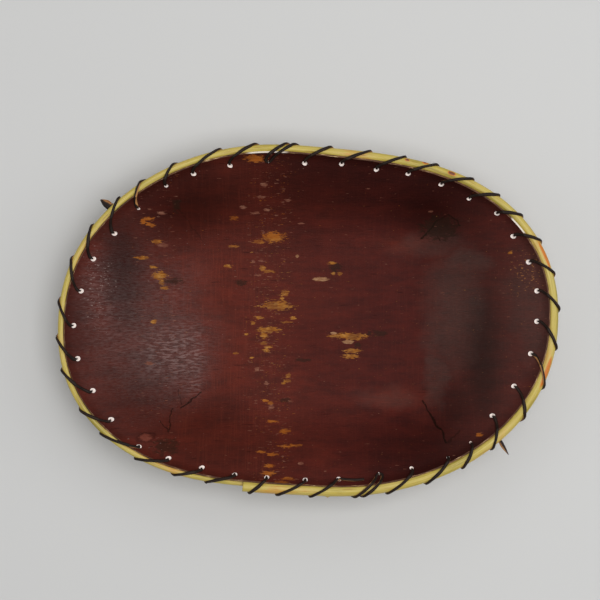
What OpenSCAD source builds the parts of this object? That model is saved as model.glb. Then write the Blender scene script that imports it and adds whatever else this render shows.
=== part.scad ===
// Birch bark tray: a sheet of bark folded up round an oblong floor, a peeled shoot bent round
// its edge as a hoop, and split roots lashed over the hoop through a row of awl holes.
// Millimetres, +Z up. The origin is on the surface that the tray stands on, midway along its
// length (X) and its width (Y).

/* [Bark] */
// Length of the mouth, between the bark's inner edges
mouth_l = 309; // [260:1:360]
// Width of the mouth, between the bark's inner edges
mouth_w = 212; // [180:1:250]
// Squareness of the mouth: 2 is an ellipse, more is boxier
mouth_n = 2.2; // [2:0.05:2.8]
// How far the hand-bent mouth swells and shrinks, four times round
mouth_waver = 1.9; // [0:0.1:4]
// Bearing of the first of those swells
mouth_waver_a = 28; // [0:1:90]
// How far it is egg-shaped, swelling three times round
mouth_egg = 0.7; // [0:0.1:2]
// Bearing of the first swell of the egg
mouth_egg_a = 103; // [0:1:120]
// Height of the bark's edge, mean of ends and sides
edge_h = 45; // [30:1:65]
// How much higher the edge stands at the ends than at the sides
end_rise = 4; // [0:0.5:10]
// Thickness of the bark
bark_t = 1.3; // [1:0.1:2.5]
// Length of the flat floor
floor_l = 146; // [110:1:190]
// Width of the flat floor
floor_w = 114; // [80:1:140]
// How far the floor lies to the right of the mouth's middle
floor_x = 2; // [-6:0.5:6]
// Squareness of the floor
floor_n = 7; // [3:0.5:10]
// S-bend of the wall: slacker at foot and brim, steeper half-way
wall_bend = 0.3; // [0:0.05:0.5]
// Width in plan of the brim that the lashing draws up against the hoop
brim_w = 4.5; // [2:0.5:8]
// How much higher the edge is drawn than an even brim
brim_h = 2.6; // [0:0.2:5]

/* [Corner pleats] */
// Bearing of the pleats on the mouth, from the tray's length
pleat_a = 41.5; // [36:0.5:52]
// How far a pleat is pushed out
pleat_d = 3.5; // [1:0.5:6]
// Height of a pleat's tip, as a share of the wall
pleat_tip = 0.68; // [0.4:0.01:0.8]
// Share of the wall over which the pleat's upper lip rises back
pleat_lip = 0.12; // [0.05:0.01:0.3]
// Bearing over which a pleat fades out into the end wall
pleat_end_a = 16; // [8:1:24]
// Bearing over which it fades out into the side wall
pleat_side_a = 6.5; // [3:0.5:12]

/* [Hoop] */
// Diameter of the shoot at its butt
butt_d = 7; // [5:0.1:9]
// Diameter of the shoot at its tip
tip_d = 3.6; // [2.4:0.1:5]
// Bearing of the butt's end, where the hoop closes
splice_a = 248.5; // [200:0.5:330]
// Length of the tip that is tucked under the notched butt
lap_l = 15; // [8:1:30]
// Length over which the tip dips to pass under the butt
dip_l = 34; // [15:1:60]
// How far the middle of the hoop lies below the bark's edge, along the wall
hoop_drop = 0.6; // [0:0.1:2]

/* [Lashing] */
// Number of awl holes, one stitch to each
hole_count = 37; // [24:1:48]
// Diameter of an awl hole
hole_d = 4.1; // [3.2:0.1:5]
// Depth of the row of holes below the edge, along the wall
hole_in = 7; // [6:0.5:11]
// Bearing of the first hole
hole_a = 180.8; // [170:0.1:190]
// Width of the split root
root_w = 2.2; // [1.4:0.1:2.8]
// Thickness of the split root, flat side to the work
root_t = 1.3; // [0.8:0.1:1.8]
// Free tail of the right-hand root
right_tail = 9; // [4:0.5:14]
// Free tail of the left-hand root
left_tail = 7; // [4:0.5:14]
// Length of the root's first end, which lies along the outside of the bark
first_end = 9; // [5:0.5:11]
// Length of the lower right root's last end, which lies back along the inside
back_end = 15; // [6:0.5:17]

/* [Fits] */
// Gap between the hoop and the bark
seat_gap = 0.15; // [0.05:0.05:0.4]
// Gap between the root and what it is wound on
root_gap = 0.3; // [0.1:0.05:0.5]
// Gap between two roots that share a hole
pair_gap = 0.5; // [0.2:0.05:0.8]
// Gap between the tip and the notch of the butt
lap_gap = 0.2; // [0.1:0.05:0.5]
// Length of the notch beyond the end of the tip
notch_spare = 1; // [0.5:0.1:3]

/* [Hidden] */

// Counts of faces: bark columns in an eighth of the round, rows below and above the pleat tips
// and in the brim, sides and rings of the hoop
bark_cols = 14;
rows_low = 8;
rows_high = 4;
rows_brim = 4;
hoop_sides = 10;
hoop_rings = 132;

// As punched by hand: each hole's slip along the mouth, clockwise, and its drop below the even row
hole_hand = [
    [-1, 0], [0, 2], [1, 2], [1, 4], [2, 3], [3, 0], [0, 0], [2, 1], [5, 1], [6, 1], [7, -1],
    [7, 0], [5, -1], [5, 0], [3, 1], [1, -2], [-3, 1], [-5, 1], [-7, 1], [-9, 2], [-9, 3], [-6, 5],
    [-3, 4], [-3, -1], [-8, -2.5], [-6, 0], [-7, 1], [-3, -1], [-4, -2.5], [-2, -2.5], [-4, -2.5], [-5, -1],
    [-5, -1], [-7, -2.5], [-4, 1], [-3, 3], [-1, 1]
];

// Holes where one root gives way to the next: at the top, lower right, bottom and upper left
top_hole = round(0.22 * hole_count);
lower_right_hole = round(0.6 * hole_count);
low_hole = round(0.7 * hole_count);
upper_left_hole = hole_count + round(0.08 * hole_count);
// The four roots: first hole, last hole, and how the last end is left
root_right = [top_hole, lower_right_hole, "tail"];
root_lower_right = [lower_right_hole + 1, low_hole + 1, "inside"];
root_left = [low_hole, upper_left_hole, "tail"];
root_upper_left = [upper_left_hole + 1, hole_count + top_hole, "tucked"];

// Distance of a root's middle from what it lies on
root_r = root_t / 2 + root_gap;
hole_r = hole_d / 2;
full_turn = 360;

function unit(v) = v / norm(v);
function mix(a, b, t) = a + (b - a) * t;
function clamp01(t) = min(1, max(0, t));
function ease(t) = let (u = clamp01(t)) u * u * (3 - 2 * u);

// Polar radius of a superellipse at bearing a
function oval_r(a, length, width, n) =
    pow(pow(abs(cos(a)) * 2 / length, n) + pow(abs(sin(a)) * 2 / width, n), -1 / n);

// Bark: plan of mouth and floor, and the rise of the wall from foot (v = 0) to edge (v = 1)
function mouth_r(a) =
    oval_r(a, mouth_l, mouth_w, mouth_n)
    + mouth_waver * cos(4 * (a - mouth_waver_a)) + mouth_egg * cos(3 * (a - mouth_egg_a));
function mouth(a) = mouth_r(a) * [cos(a), sin(a)];
function floor_bearing(a) = atan2(sin(a) * floor_w / floor_l / tan(pleat_a), cos(a));
function floor_edge(a) =
    let (b = floor_bearing(a)) [floor_x, 0] + oval_r(b, floor_l, floor_w, floor_n) * [cos(b), sin(b)];
function edge_z(a) = edge_h + end_rise / 2 * cos(2 * a);
function rise(v) = v - wall_bend * sin(full_turn * v) / (2 * PI);
function brim(a, v) =
    let (run = norm(mouth(a) - floor_edge(a))) brim_h * pow(max(0, 1 - (1 - v) * run / brim_w), 2);

// Pleat: 1 at the fold line, fading to the side wall in a short ramp and to the end wall in a curve
function first_quarter(a) = let (b = abs((a % 180 + 180) % 180 - 90)) 90 - b;
function pleat_across(a) =
    let (c = pleat_a - first_quarter(a))
    c < 0 ? max(0, 1 + c / pleat_side_a) : pow(max(0, 1 - c / pleat_end_a), 2);
function pleat_along(v) = clamp01((pleat_tip - v) / pleat_lip);
function pleat(a, v) = pleat_d * pleat_across(a) * pleat_along(v);

// Inner face of the wall, without and with its pleats
function smooth_wall(a, v) =
    let (p = mix(floor_edge(a), mouth(a), v))
    [p.x, p.y, mix(bark_t, edge_z(a) - brim_h, rise(v)) + brim(a, v)];
function wall(a, v) = smooth_wall(a, v) + pleat(a, v) * [cos(a), sin(a), 0];
step_a = 0.5;
step_v = 0.004;
function wall_out(a, v) =
    let (
        along = smooth_wall(a + step_a, v) - smooth_wall(a - step_a, v),
        up = smooth_wall(a, v + step_v) - smooth_wall(a, v - step_v)
    ) unit(cross(along, up));
function wall_back(a, v) =
    v == 0 ? wall(a, 0) - [0, 0, bark_t] : wall(a, v) + bark_t * wall_out(a, v);

// Section frame at the edge: q outwards from the inner edge in plan, z up from it
function edge_out(a) = let (t = mouth(a + step_a) - mouth(a - step_a)) unit([t.y, -t.x]);
function in_section(a, q, z) =
    let (e = mouth(a), n = edge_out(a)) [e.x + n.x * q, e.y + n.y * q, edge_z(a) + z];
function section_of(a, v) =
    let (p = smooth_wall(a, v), d = [p.x, p.y] - mouth(a)) [d * edge_out(a), p.z - edge_z(a)];
// Depths below the edge, along the wall, of a row of points, for looking a depth up
depth_steps = 16;
depth_dv = 0.02;
function wall_depths(a) = [for (k = 0, s = 0; k <= depth_steps;
    s = s + norm(section_of(a, 1 - k * depth_dv) - section_of(a, 1 - (k + 1) * depth_dv)), k = k + 1)
    [s, 1 - k * depth_dv]];
// Point at a depth below the edge along the wall, and off its inner face towards the outside
function on_wall(a, depth, off) =
    let (
        v = lookup(depth, wall_depths(a)),
        p = section_of(a, v),
        up = unit(section_of(a, v + step_v) - section_of(a, v - step_v))
    ) p + off * [up.y, -up.x];
function edge_lean(a) = let (p = section_of(a, 1 - step_v)) atan2(-p.y, -p.x);

// Hoop: radius along the shoot and the seat of its middle against the outer face
function turn_from_butt(a) = ((a - splice_a) % full_turn + full_turn) % full_turn;
function shoot_r(turn) = mix(butt_d, tip_d, turn / full_turn) / 2;
function seat(a, r) =
    let (w = edge_lean(a), off = bark_t + seat_gap + r)
    [off * sin(w) - hoop_drop * cos(w), -off * cos(w) - hoop_drop * sin(w)];
function along_mouth(a, length) = length / mouth_r(a) * 180 / PI;
lap_turn = along_mouth(splice_a, lap_l);
dip_turn = along_mouth(splice_a, dip_l);
notch_turn = lap_turn + along_mouth(splice_a, notch_spare);
notch_ramp = along_mouth(splice_a, butt_d / 2);
// The tip sinks below the middle of the butt, in line with its inner side
function shoot_mid(turn) =
    let (
        a = splice_a + turn,
        r = shoot_r(turn),
        under = seat(a, butt_d / 2) - [butt_d / 2 - r - lap_gap, r + lap_gap / 2]
    ) turn < full_turn - dip_turn ? seat(a, r)
    : mix(seat(a, r), under, ease((turn - full_turn + dip_turn) / dip_turn));
// The butt is notched to half its thickness over the lap
function notch_floor(turn) = mix(lap_gap / 2, -butt_d, clamp01((turn - notch_turn) / notch_ramp));
function shoot_ring(turn) =
    let (a = splice_a + turn, r = shoot_r(turn), m = shoot_mid(turn), low = notch_floor(turn))
    [for (i = [0 : hoop_sides - 1])
        let (b = full_turn * (i + 0.5) / hoop_sides)
        in_section(a, m.x + r * cos(b), m.y + max(low, r * sin(b)))];
shoot_turns = concat(
    [0, notch_turn, notch_turn + notch_ramp],
    [for (i = [3 : hoop_rings]) (full_turn + lap_turn) * i / hoop_rings]
);
shoot_rings = [for (turn = shoot_turns) shoot_ring(turn)];

// Awl holes, clockwise at even steps of the mouth's length, each moved as the hand punched it
mouth_steps = [for (i = 0, s = 0; i <= full_turn;
    s = s + norm(mouth(hole_a - i - 1) - mouth(hole_a - i)), i = i + 1) [s, i]];
mouth_girth = mouth_steps[full_turn][0];
hole_pitch = mouth_girth / hole_count;
function hand(i) = hole_hand[i % len(hole_hand)];
function hole_bearing(i) =
    let (lap = floor(i / hole_count), s = i % hole_count * hole_pitch + hand(i % hole_count)[0])
    hole_a - full_turn * lap - (s < 0 ? s / hole_pitch * full_turn / hole_count : lookup(s, mouth_steps));
function hole_depth(i) = hole_in + hand(i % hole_count)[1];

// What the root winds round at bearing a: the hoop's middle there, and the root's distance from it.
// Just past the butt's end it still goes over the butt. At the lap it comes back under the tip.
butt_wrap = along_mouth(splice_a, 4 * root_w);
function wound(turn) = [shoot_mid(turn), shoot_r(turn) + root_r];
function wound_over(a) = let (turn = turn_from_butt(a)) wound(turn > full_turn - butt_wrap ? 0 : turn);
function wound_under(a) = let (turn = turn_from_butt(a)) wound(turn < lap_turn ? full_turn + turn : turn);

// A hole that two roots share takes them side by side through its middle, squeezed narrower.
// They spread where they slant up the inside and over the hoop. A single root lies at the side
// next to the edge, but no nearer to it than the hoop leaves room for.
function shared(i) =
    let (h = i % hole_count)
    h == top_hole || h == low_hole || h == low_hole + 1 ? 1 : 0;
pair_slip = (root_w + pair_gap) / 2;
squeeze = 0.66;
spread = 2.1;
inner_spread = 1.45;
pass_least = hole_r + 2 * root_t;
function pass_depth(i) = max(pass_least, hole_depth(i) - (1 - shared(i)) * hole_r / 2);

// Turn of the root through hole i, in five points from the outer face to the inner
bend_in = 0.85;
bend_run = 1.8;
from_hoop = [0.6, 1.5];
function through_hole(a, i, k) =
    let (p = pass_depth(i))
    k == 0 ? on_wall(a, p - from_hoop.x * root_r, bark_t + from_hoop.y * root_r)
    : k == 1 ? on_wall(a, p - (1 - bend_in) * root_r, bark_t + bend_in * root_r)
    : k == 2 ? on_wall(a, p, bark_t / 2)
    : k == 3 ? on_wall(a, p - (1 - bend_in) * root_r, -bend_in * root_r)
    : on_wall(a, p - bend_run * root_r, -root_r);

// Bearings, round the hoop's middle, where the root comes on to the hoop and leaves it for hole i
function hoop_on(a) =
    let (w = wound_over(a)) atan2(w[0].y, w[0].x) + acos((root_r - w[1]) / norm(w[0]));
function hoop_off(a, i) =
    let (w = wound_under(a), d = w[0] - through_hole(a, i, 0))
    atan2(d.y, d.x) - asin(min(1, w[1] / norm(d))) - 90;
// Points stand out a little from the round, so that the straight runs between them clear it
hoop_stops = [0, 0.2, 0.4, 0.6, 0.8, 1];
under_from = 0.7;
chord_out = 1 / cos(22);
function round_at(w, b) = w[0] + chord_out * w[1] * [cos(b), sin(b)];
function over_hoop(a, i, t) =
    round_at(t < under_from ? wound_over(a) : wound_under(a), mix(hoop_on(a), hoop_off(a, i), t));
function on_edge(b) = chord_out * root_r * [cos(b), sin(b)];

// One stitch, from hole i over the hoop to hole i + 1. A point has its bearing, its place in the
// section there, the share of its width that it keeps and how far it turns its flat along the edge.
// Shares of the way to the next hole: clear of the hole, half-way up the inside, at the edge and
// just before the next hole
clear_share = 0.04;
inside_share = 0.15;
edge_share = 0.29;
edge_run = 0.05;
next_share = 0.96;
function hoop_share(a) = 0.74 - 0.12 * cos(2 * a);
function stitch(i, side) =
    let (
        a0 = hole_bearing(i), a1 = hole_bearing(i + 1),
        slip0 = side * shared(i) * pair_slip, slip1 = side * shared(i + 1) * pair_slip,
        over = hoop_share(a0),
        at = function (t, k0, k1) let (a = mix(a0, a1, t)) a - along_mouth(a, slip0 * k0 + slip1 * k1),
        a_in = at(inside_share, (inner_spread + spread) / 2, 0),
        a_off = at(over, spread, 0),
        a_mid = at(mix(over, next_share, 0.5), spread / 2, 0.5)
    ) concat(
        [for (k = [2 : 4])
            let (a = at(clear_share * (k / 2 - 1), k < 4 ? squeeze : inner_spread, 0))
            [a, through_hole(a, i, k), k < 4 ? squeeze : 1, 0]],
        [[a_in, on_wall(a_in, pass_depth(i) / 2, -root_r), 1, 0]],
        [for (k = [1, 0.5])
            let (a = at(edge_share - edge_run * k, spread, 0))
            [a, on_edge(mix(hoop_on(a), 90 + edge_lean(a), k)), 1, 0]],
        [for (t = hoop_stops)
            let (a = at(mix(edge_share, over, 1 - pow(1 - t, 2)), spread, 0))
            [a, over_hoop(a, i + 1, t), 1, 0]],
        [[a_mid, (over_hoop(a_off, i + 1, 1) + through_hole(a_mid, i + 1, 0)) / 2, 1, 0]],
        [for (k = [0, 1])
            let (w = k < 1 ? 1 : squeeze, a = at(mix(next_share, 1, 0.75 * k), 0, w))
            [a, through_hole(a, i + 1, k), w, 0]]
    );

// The first end comes up the outside of the bark to its hole
first_stops = [1, 0.66, 0.33];
first_slant = 0.25;
function first_part(i, side) =
    let (a0 = hole_bearing(i) - along_mouth(hole_bearing(i), side * shared(i) * pair_slip * squeeze))
    concat(
        [for (t = first_stops)
            let (a = a0 - along_mouth(a0, first_slant * first_end * t))
            [a, on_wall(a, pass_depth(i) + first_end * t, bark_t + root_r), 1, 0]],
        [[a0, on_wall(a0, pass_depth(i) + (1 - bend_in) * root_r, bark_t + bend_in * root_r), squeeze, 0]]
    );

// The last end stands out as a free tail, is tucked under the hoop, or lies back along the inside
stitch_lead = 6;
tail_stops = [0, 0.3, 0.65, 1];
tail_off = 55;
tail_slant = -0.45;
tail_droop = 0.12;
back_stops = [0.15, 0.3, 0.65, 1];
function tail_part(a, tail) =
    let (w = wound_over(a), p = round_at(w, tail_off), lie = [sin(tail_off), -cos(tail_off)])
    concat(
        [[a, round_at(w, mix(hoop_on(a), tail_off, 0.5)), 1, 0]],
        [for (t = tail_stops)
            let (b = a - along_mouth(a, tail_slant * tail * t))
            [b, p + tail * (t * lie - [0, tail_droop * t * t]), 1, 0]]
    );
function last_part(i, side, end, tail) =
    let (way = stitch(i, side), a0 = way[0][0])
    end == "tucked" ? [for (k = [0 : stitch_lead + len(hoop_stops) - 1]) way[k]]
    : end == "tail" ? concat([for (k = [0 : stitch_lead]) way[k]], tail_part(way[stitch_lead][0], tail))
    : concat(
        [for (k = [0, 1]) way[k]],
        [for (t = back_stops)
            let (a = a0 + along_mouth(a0, back_end * t))
            [a, on_wall(a, pass_depth(i) - bend_run * root_r * min(1, 2 * t), -root_r), 1, min(1, 3 * t)]]
    );
function root_way(plan, side_first, side_last, tail) = concat(
    first_part(plan[0], side_first),
    [for (i = [plan[0] : plan[1] - 1]) each stitch(i, i < plan[0] + 2 ? side_first : side_last)],
    last_part(plan[1], side_last, plan[2], tail)
);

// Cross-section of the split root: flat face to the work, round face out
root_shape = [[-0.5, -0.5], [0.5, -0.5], [0.46, 0.1], [0.24, 0.5], [-0.24, 0.5], [-0.46, 0.1]];
function root_path(way) = [for (p = way) in_section(p[0], p[1].x, p[1].y)];
function root_rings(way) =
    let (path = root_path(way), last = len(path) - 1)
    [for (k = [0 : last])
        let (
            t = unit(path[min(last, k + 1)] - path[max(0, k - 1)]),
            n = edge_out(way[k][0]),
            lean = edge_lean(way[k][0]),
            lie = mix([n.y, -n.x, 0], [n.x * cos(lean), n.y * cos(lean), sin(lean)], way[k][3]),
            side = unit(lie - (lie * t) * t),
            up = cross(side, t)
        ) [for (s = root_shape) path[k] + side * s.x * root_w * way[k][2] + up * s.y * root_t]];

way_right = root_way(root_right, 1, 0, right_tail);
way_lower_right = root_way(root_lower_right, 0, -1, 0);
way_left = root_way(root_left, 1, 0, left_tail);
way_upper_left = root_way(root_upper_left, 0, -1, 0);
rings_right = root_rings(way_right);
rings_lower_right = root_rings(way_lower_right);
rings_left = root_rings(way_left);
rings_upper_left = root_rings(way_upper_left);

// Least gap of a root to itself, on the middles of its rings
gap_skip = 8;
function self_gap(way) =
    let (path = root_path(way), n = len(path))
    min([for (i = [0 : n - 1 - gap_skip], j = [i + gap_skip : n - 1]) norm(path[i] - path[j])]) - root_w;

// Middle of the whole in plan, which becomes the origin
all_rings = concat(shoot_rings, rings_right, rings_lower_right, rings_left, rings_upper_left);
all_x = [for (ring = all_rings, p = ring) p.x];
all_y = [for (ring = all_rings, p = ring) p.y];
middle = [max(all_x) + min(all_x), max(all_y) + min(all_y)] / 2;

// A closed skin over a row of rings, with a flat fan on the first and the last
function ring_mid(ring) = [for (j = [0 : len(ring) - 1]) 1] * ring / len(ring);
module skin(rings) {
    sides = len(rings[0]);
    rows = len(rings);
    points = concat([for (ring = rings) each ring], [ring_mid(rings[0]), ring_mid(rings[rows - 1])]);
    faces = [for (j = [0 : sides - 1])
        let (k = (j + 1) % sides, top = (rows - 1) * sides)
        each concat(
            [[k, j, rows * sides], [top + j, top + k, rows * sides + 1]],
            [for (i = [0 : sides : top - 1])
                each [[i + j, i + k, i + sides + j], [i + k, i + sides + k, i + sides + j]]])];
    translate([-middle.x, -middle.y, 0]) polyhedron(points = points, faces = faces, convexity = 6);
}

// Bearings of the bark's columns, with one on every pleat
function eighth(k) =
    k < bark_cols ? pleat_a * k / bark_cols : mix(pleat_a, 90, (k - bark_cols) / bark_cols);
bark_bearings = [for (q = [0 : 3], k = [0 : 2 * bark_cols - 1])
    q % 2 == 0 ? 90 * q + eighth(k) : 90 * (q + 1) - eighth(2 * bark_cols - k)];
brim_row = 0.9;
bark_rows = concat(
    [for (i = [0 : rows_low]) pleat_tip * i / rows_low],
    [for (i = [1 : rows_high]) mix(pleat_tip, brim_row, i / rows_high)],
    [for (i = [1 : rows_brim]) mix(brim_row, 1, i / rows_brim)]
);

module bark_sheet() {
    last = len(bark_rows) - 1;
    color([0.36, 0.17, 0.13])
    difference() {
        skin(concat(
            [for (i = [0 : last]) [for (a = bark_bearings) wall(a, bark_rows[i])]],
            [for (i = [last : -1 : 0]) [for (a = bark_bearings) wall_back(a, bark_rows[i])]]
        ));
        translate([-middle.x, -middle.y, 0]) awl_holes();
    }
}

// Each hole goes square through the wall
module awl_holes() {
    for (i = [0 : hole_count - 1]) {
        a = hole_bearing(i);
        inside = on_wall(a, hole_depth(i), -bark_t);
        outside = on_wall(a, hole_depth(i), 2 * bark_t);
        from = in_section(a, inside.x, inside.y);
        way = in_section(a, outside.x, outside.y) - from;
        translate(from)
            rotate([0, acos(way.z / norm(way)), atan2(way.y, way.x)])
                cylinder(d = hole_d, h = norm(way), $fn = 24);
    }
}

module rim_shoot() {
    color([0.8, 0.72, 0.36]) skin(shoot_rings);
}

module root(name, way, rings) {
    echo(str(name, ": least gap to itself ", self_gap(way), " mm"));
    color([0.2, 0.13, 0.09]) skin(rings);
}

module lashing_right() root("lashing_right", way_right, rings_right);
module lashing_lower_right() root("lashing_lower_right", way_lower_right, rings_lower_right);
module lashing_left() root("lashing_left", way_left, rings_left);
module lashing_upper_left() root("lashing_upper_left", way_upper_left, rings_upper_left);

bark_sheet();
rim_shoot();
lashing_right();
lashing_lower_right();
lashing_left();
lashing_upper_left();
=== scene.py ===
# %% [markdown]
# # A birch bark tray
#
# One sheet of birch bark is folded up round an oblong floor. A peeled shoot is bent round its edge
# as a hoop, and split roots are lashed over the hoop through a row of awl holes. The CAD model has
# the same pieces as plain solids. Here each of them is made again as a finer surface with its own
# finish, in the same place, and stands in for the CAD solid.

import bpy
import numpy as np
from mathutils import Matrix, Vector


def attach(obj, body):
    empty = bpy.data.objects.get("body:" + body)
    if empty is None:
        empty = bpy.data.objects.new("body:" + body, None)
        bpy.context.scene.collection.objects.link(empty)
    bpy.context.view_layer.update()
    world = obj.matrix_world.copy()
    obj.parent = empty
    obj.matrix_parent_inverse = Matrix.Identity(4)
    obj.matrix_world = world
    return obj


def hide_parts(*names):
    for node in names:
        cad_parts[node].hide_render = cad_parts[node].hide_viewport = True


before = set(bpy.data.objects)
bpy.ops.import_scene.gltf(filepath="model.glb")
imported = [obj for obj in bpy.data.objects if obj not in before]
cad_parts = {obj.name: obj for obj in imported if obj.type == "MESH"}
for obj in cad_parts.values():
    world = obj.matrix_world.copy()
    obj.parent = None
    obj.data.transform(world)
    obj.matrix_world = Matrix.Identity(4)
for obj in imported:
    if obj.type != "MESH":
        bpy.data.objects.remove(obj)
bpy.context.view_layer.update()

# %% [markdown]
# ## Camera
#
# The photograph looks straight down into the tray, from far enough away that the walls hardly lean.
# A camera that is not turned looks down its own -Z with +Y up, so it only has to be lifted over the
# tray. A long lens keeps the view nearly flat.

# %% Camera
camera_data = bpy.data.cameras.new("camera")
camera_data.sensor_width = 36.0
camera_data.lens = 113.6
camera = bpy.data.objects.new("camera", camera_data)
camera.location = (-0.0052, 0.0131, 1.25)
bpy.context.collection.objects.link(camera)
bpy.context.scene.camera = camera
print("camera", tuple(camera.location), "lens", camera_data.lens)

# %% [markdown]
# ## Curves of the tray
#
# Everything follows two ovals: the mouth of the tray and its floor. Both are superellipses, the
# curves between an ellipse and a rectangle. Bearings are in degrees round the middle and lengths in
# millimetres, as in the CAD source. Each function takes whole arrays and answers with whole arrays.

# %% Small helpers
def cosd(a):
    """Cosine of an angle in degrees."""
    return np.cos(np.radians(a))


def sind(a):
    """Sine of an angle in degrees."""
    return np.sin(np.radians(a))


def mix(a, b, t):
    """Straight blend: a at t = 0, b at t = 1."""
    return a + (b - a) * t


def ease(t):
    """Smooth step: 3 t^2 - 2 t^3 of t held between 0 and 1."""
    u = np.clip(t, 0, 1)
    return u * u * (3 - 2 * u)


def unit(v):
    """Vectors divided by their own lengths."""
    return v / np.linalg.norm(v, axis=-1, keepdims=True)


# %% Mouth and floor ovals
mouth_l, mouth_w, mouth_n = 309.0, 212.0, 2.2
floor_l, floor_w, floor_n, floor_x = 146.0, 114.0, 7.0, 2.0
edge_h, end_rise = 45.0, 4.0
pleat_a = 41.5


def oval_r(a, length, width, n):
    """Radius of a superellipse: (|2 cos a / length|^n + |2 sin a / width|^n)^(-1/n)."""
    return (np.abs(cosd(a) * 2 / length) ** n + np.abs(sind(a) * 2 / width) ** n) ** (-1 / n)


def mouth(a):
    """Inner edge of the bark in plan: an oval that swells four times and three times round."""
    r = oval_r(a, mouth_l, mouth_w, mouth_n) + 1.9 * cosd(4 * (a - 28)) + 0.7 * cosd(3 * (a - 103))
    return np.stack([r * cosd(a), r * sind(a)], -1)


def floor_edge(a):
    """Foot of the wall in plan: a boxier oval, its bearing stretched so that corners meet pleats."""
    b = np.degrees(np.arctan2(sind(a) * floor_w / floor_l / np.tan(np.radians(pleat_a)), cosd(a)))
    r = oval_r(b, floor_l, floor_w, floor_n)
    return np.stack([floor_x + r * cosd(b), r * sind(b)], -1)


def edge_z(a):
    """Height of the bark's edge: the mean height, more at the ends and less at the sides."""
    return edge_h + end_rise / 2 * cosd(2 * a)


compass = np.arange(0.0, 360.0, 30.0)
print("mouth radii in mm:", np.linalg.norm(mouth(compass), axis=-1).round(1))

# %% The wall between them
bark_t = 1.3
wall_bend, brim_w, brim_h = 0.3, 4.5, 2.6
v_step, v_row = 0.004, 0.02


def smooth_wall(a, v):
    """Inner face from foot (v = 0) to edge (v = 1): straight in plan, and in height an S-bend,
    v - bend sin(2 pi v) / 2 pi, with a brim that the lashing draws up by a square law."""
    a, v = np.broadcast_arrays(np.asarray(a, float), np.asarray(v, float))
    foot, edge = floor_edge(a), mouth(a)
    run = np.linalg.norm(edge - foot, axis=-1)
    lift = brim_h * np.maximum(0, 1 - (1 - v) * run / brim_w) ** 2
    bend = v - wall_bend * np.sin(2 * np.pi * v) / (2 * np.pi)
    z = mix(bark_t, edge_z(a) - brim_h, bend) + lift
    return np.concatenate([mix(foot, edge, v[..., None]), z[..., None]], -1)


print("height of the wall half-way up, in mm:", smooth_wall(compass, 0.5)[:, 2].round(1))

# %% Sections across the edge
def edge_out(a):
    """Unit vector out of the mouth in plan, square to its edge."""
    t = mouth(a + 0.5) - mouth(a - 0.5)
    return unit(np.stack([t[..., 1], -t[..., 0]], -1))


def in_section(a, p):
    """Point in space of p = (out, up) in the upright section at bearing a, from the inner edge."""
    a = np.asarray(a, float)
    plan = mouth(a) + edge_out(a) * p[..., :1]
    return np.concatenate([plan, (edge_z(a) + p[..., 1])[..., None]], -1)


def section_of(a, v):
    """The wall's inner face as (out, up) in that section."""
    p = smooth_wall(a, v)
    out = ((p[..., :2] - mouth(a)) * edge_out(a)).sum(-1)
    return np.stack([out, p[..., 2] - edge_z(a)], -1)


def depth_to_v(a, depth):
    """Share v at a depth below the edge along the wall: look-up in a row of summed chords."""
    a, depth = np.broadcast_arrays(np.asarray(a, float), np.asarray(depth, float))
    row = 1 - v_row * np.arange(26)
    chord = np.linalg.norm(np.diff(section_of(a[..., None], row), axis=-2), axis=-1)
    s = np.concatenate([np.zeros(a.shape + (1,)), np.cumsum(chord, -1)], -1)
    k = np.clip((s < depth[..., None]).sum(-1) - 1, 0, len(row) - 2)
    s0, s1 = (np.take_along_axis(s, (k + n)[..., None], -1)[..., 0] for n in (0, 1))
    return row[k] - v_row * (depth - s0) / (s1 - s0)


def on_wall(a, depth, off):
    """Section point at a depth below the edge, and off the inner face towards the outside."""
    a = np.asarray(a, float)
    v = depth_to_v(a, depth)
    up = unit(section_of(a, v + v_step) - section_of(a, v - v_step))
    return section_of(a, v) + np.asarray(off)[..., None] * np.stack([up[..., 1], -up[..., 0]], -1)


def edge_lean(a):
    """Angle of the brim above the level, in degrees."""
    p = section_of(a, 1 - v_step)
    return np.degrees(np.arctan2(-p[..., 1], -p[..., 0]))


print("lean of the brim in degrees:", edge_lean(compass).round(0))

# %% [markdown]
# ## Awl holes
#
# The maker pricked one hole for each stitch, by eye. They run clockwise at about even steps along the
# mouth, and each has slipped a little along the row and dropped a little below it. The bark needs
# them as openings and the roots pass through them, so their places come first.

# %% Places of the holes
hole_r, hole_in, hole_a = 2.05, 7.0, 180.8
hand = np.array([
    [-1, 0], [0, 2], [1, 2], [1, 4], [2, 3], [3, 0], [0, 0], [2, 1], [5, 1], [6, 1], [7, -1],
    [7, 0], [5, -1], [5, 0], [3, 1], [1, -2], [-3, 1], [-5, 1], [-7, 1], [-9, 2], [-9, 3], [-6, 5],
    [-3, 4], [-3, -1], [-8, -2.5], [-6, 0], [-7, 1], [-3, -1], [-4, -2.5], [-2, -2.5], [-4, -2.5],
    [-5, -1], [-5, -1], [-7, -2.5], [-4, 1], [-3, 3], [-1, 1],
])
hole_count = len(hand)
way_turn = np.arange(0, 360.05, 0.1)
way_step = np.linalg.norm(np.diff(mouth(hole_a - way_turn), axis=0), axis=-1)
way_s = np.concatenate([[0], np.cumsum(way_step)])
girth = way_s[-1]
hole_s = np.arange(hole_count) * girth / hole_count + hand[:, 0]
hole_depths = hole_in + hand[:, 1]


def bearing_at(s):
    """Bearing at a length s along the mouth, clockwise from the first hole, whole laps kept."""
    return hole_a - np.interp(s % girth, way_s, way_turn) - 360 * np.floor(s / girth)


def length_at(a):
    """Length along the mouth, clockwise from the first hole, of a bearing."""
    return np.interp((hole_a - a) % 360, way_turn, way_s)


def short_way(s, lap):
    """A length or angle on a closed round, taken the short way: from minus to plus half a lap."""
    return (s + lap / 2) % lap - lap / 2


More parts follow.
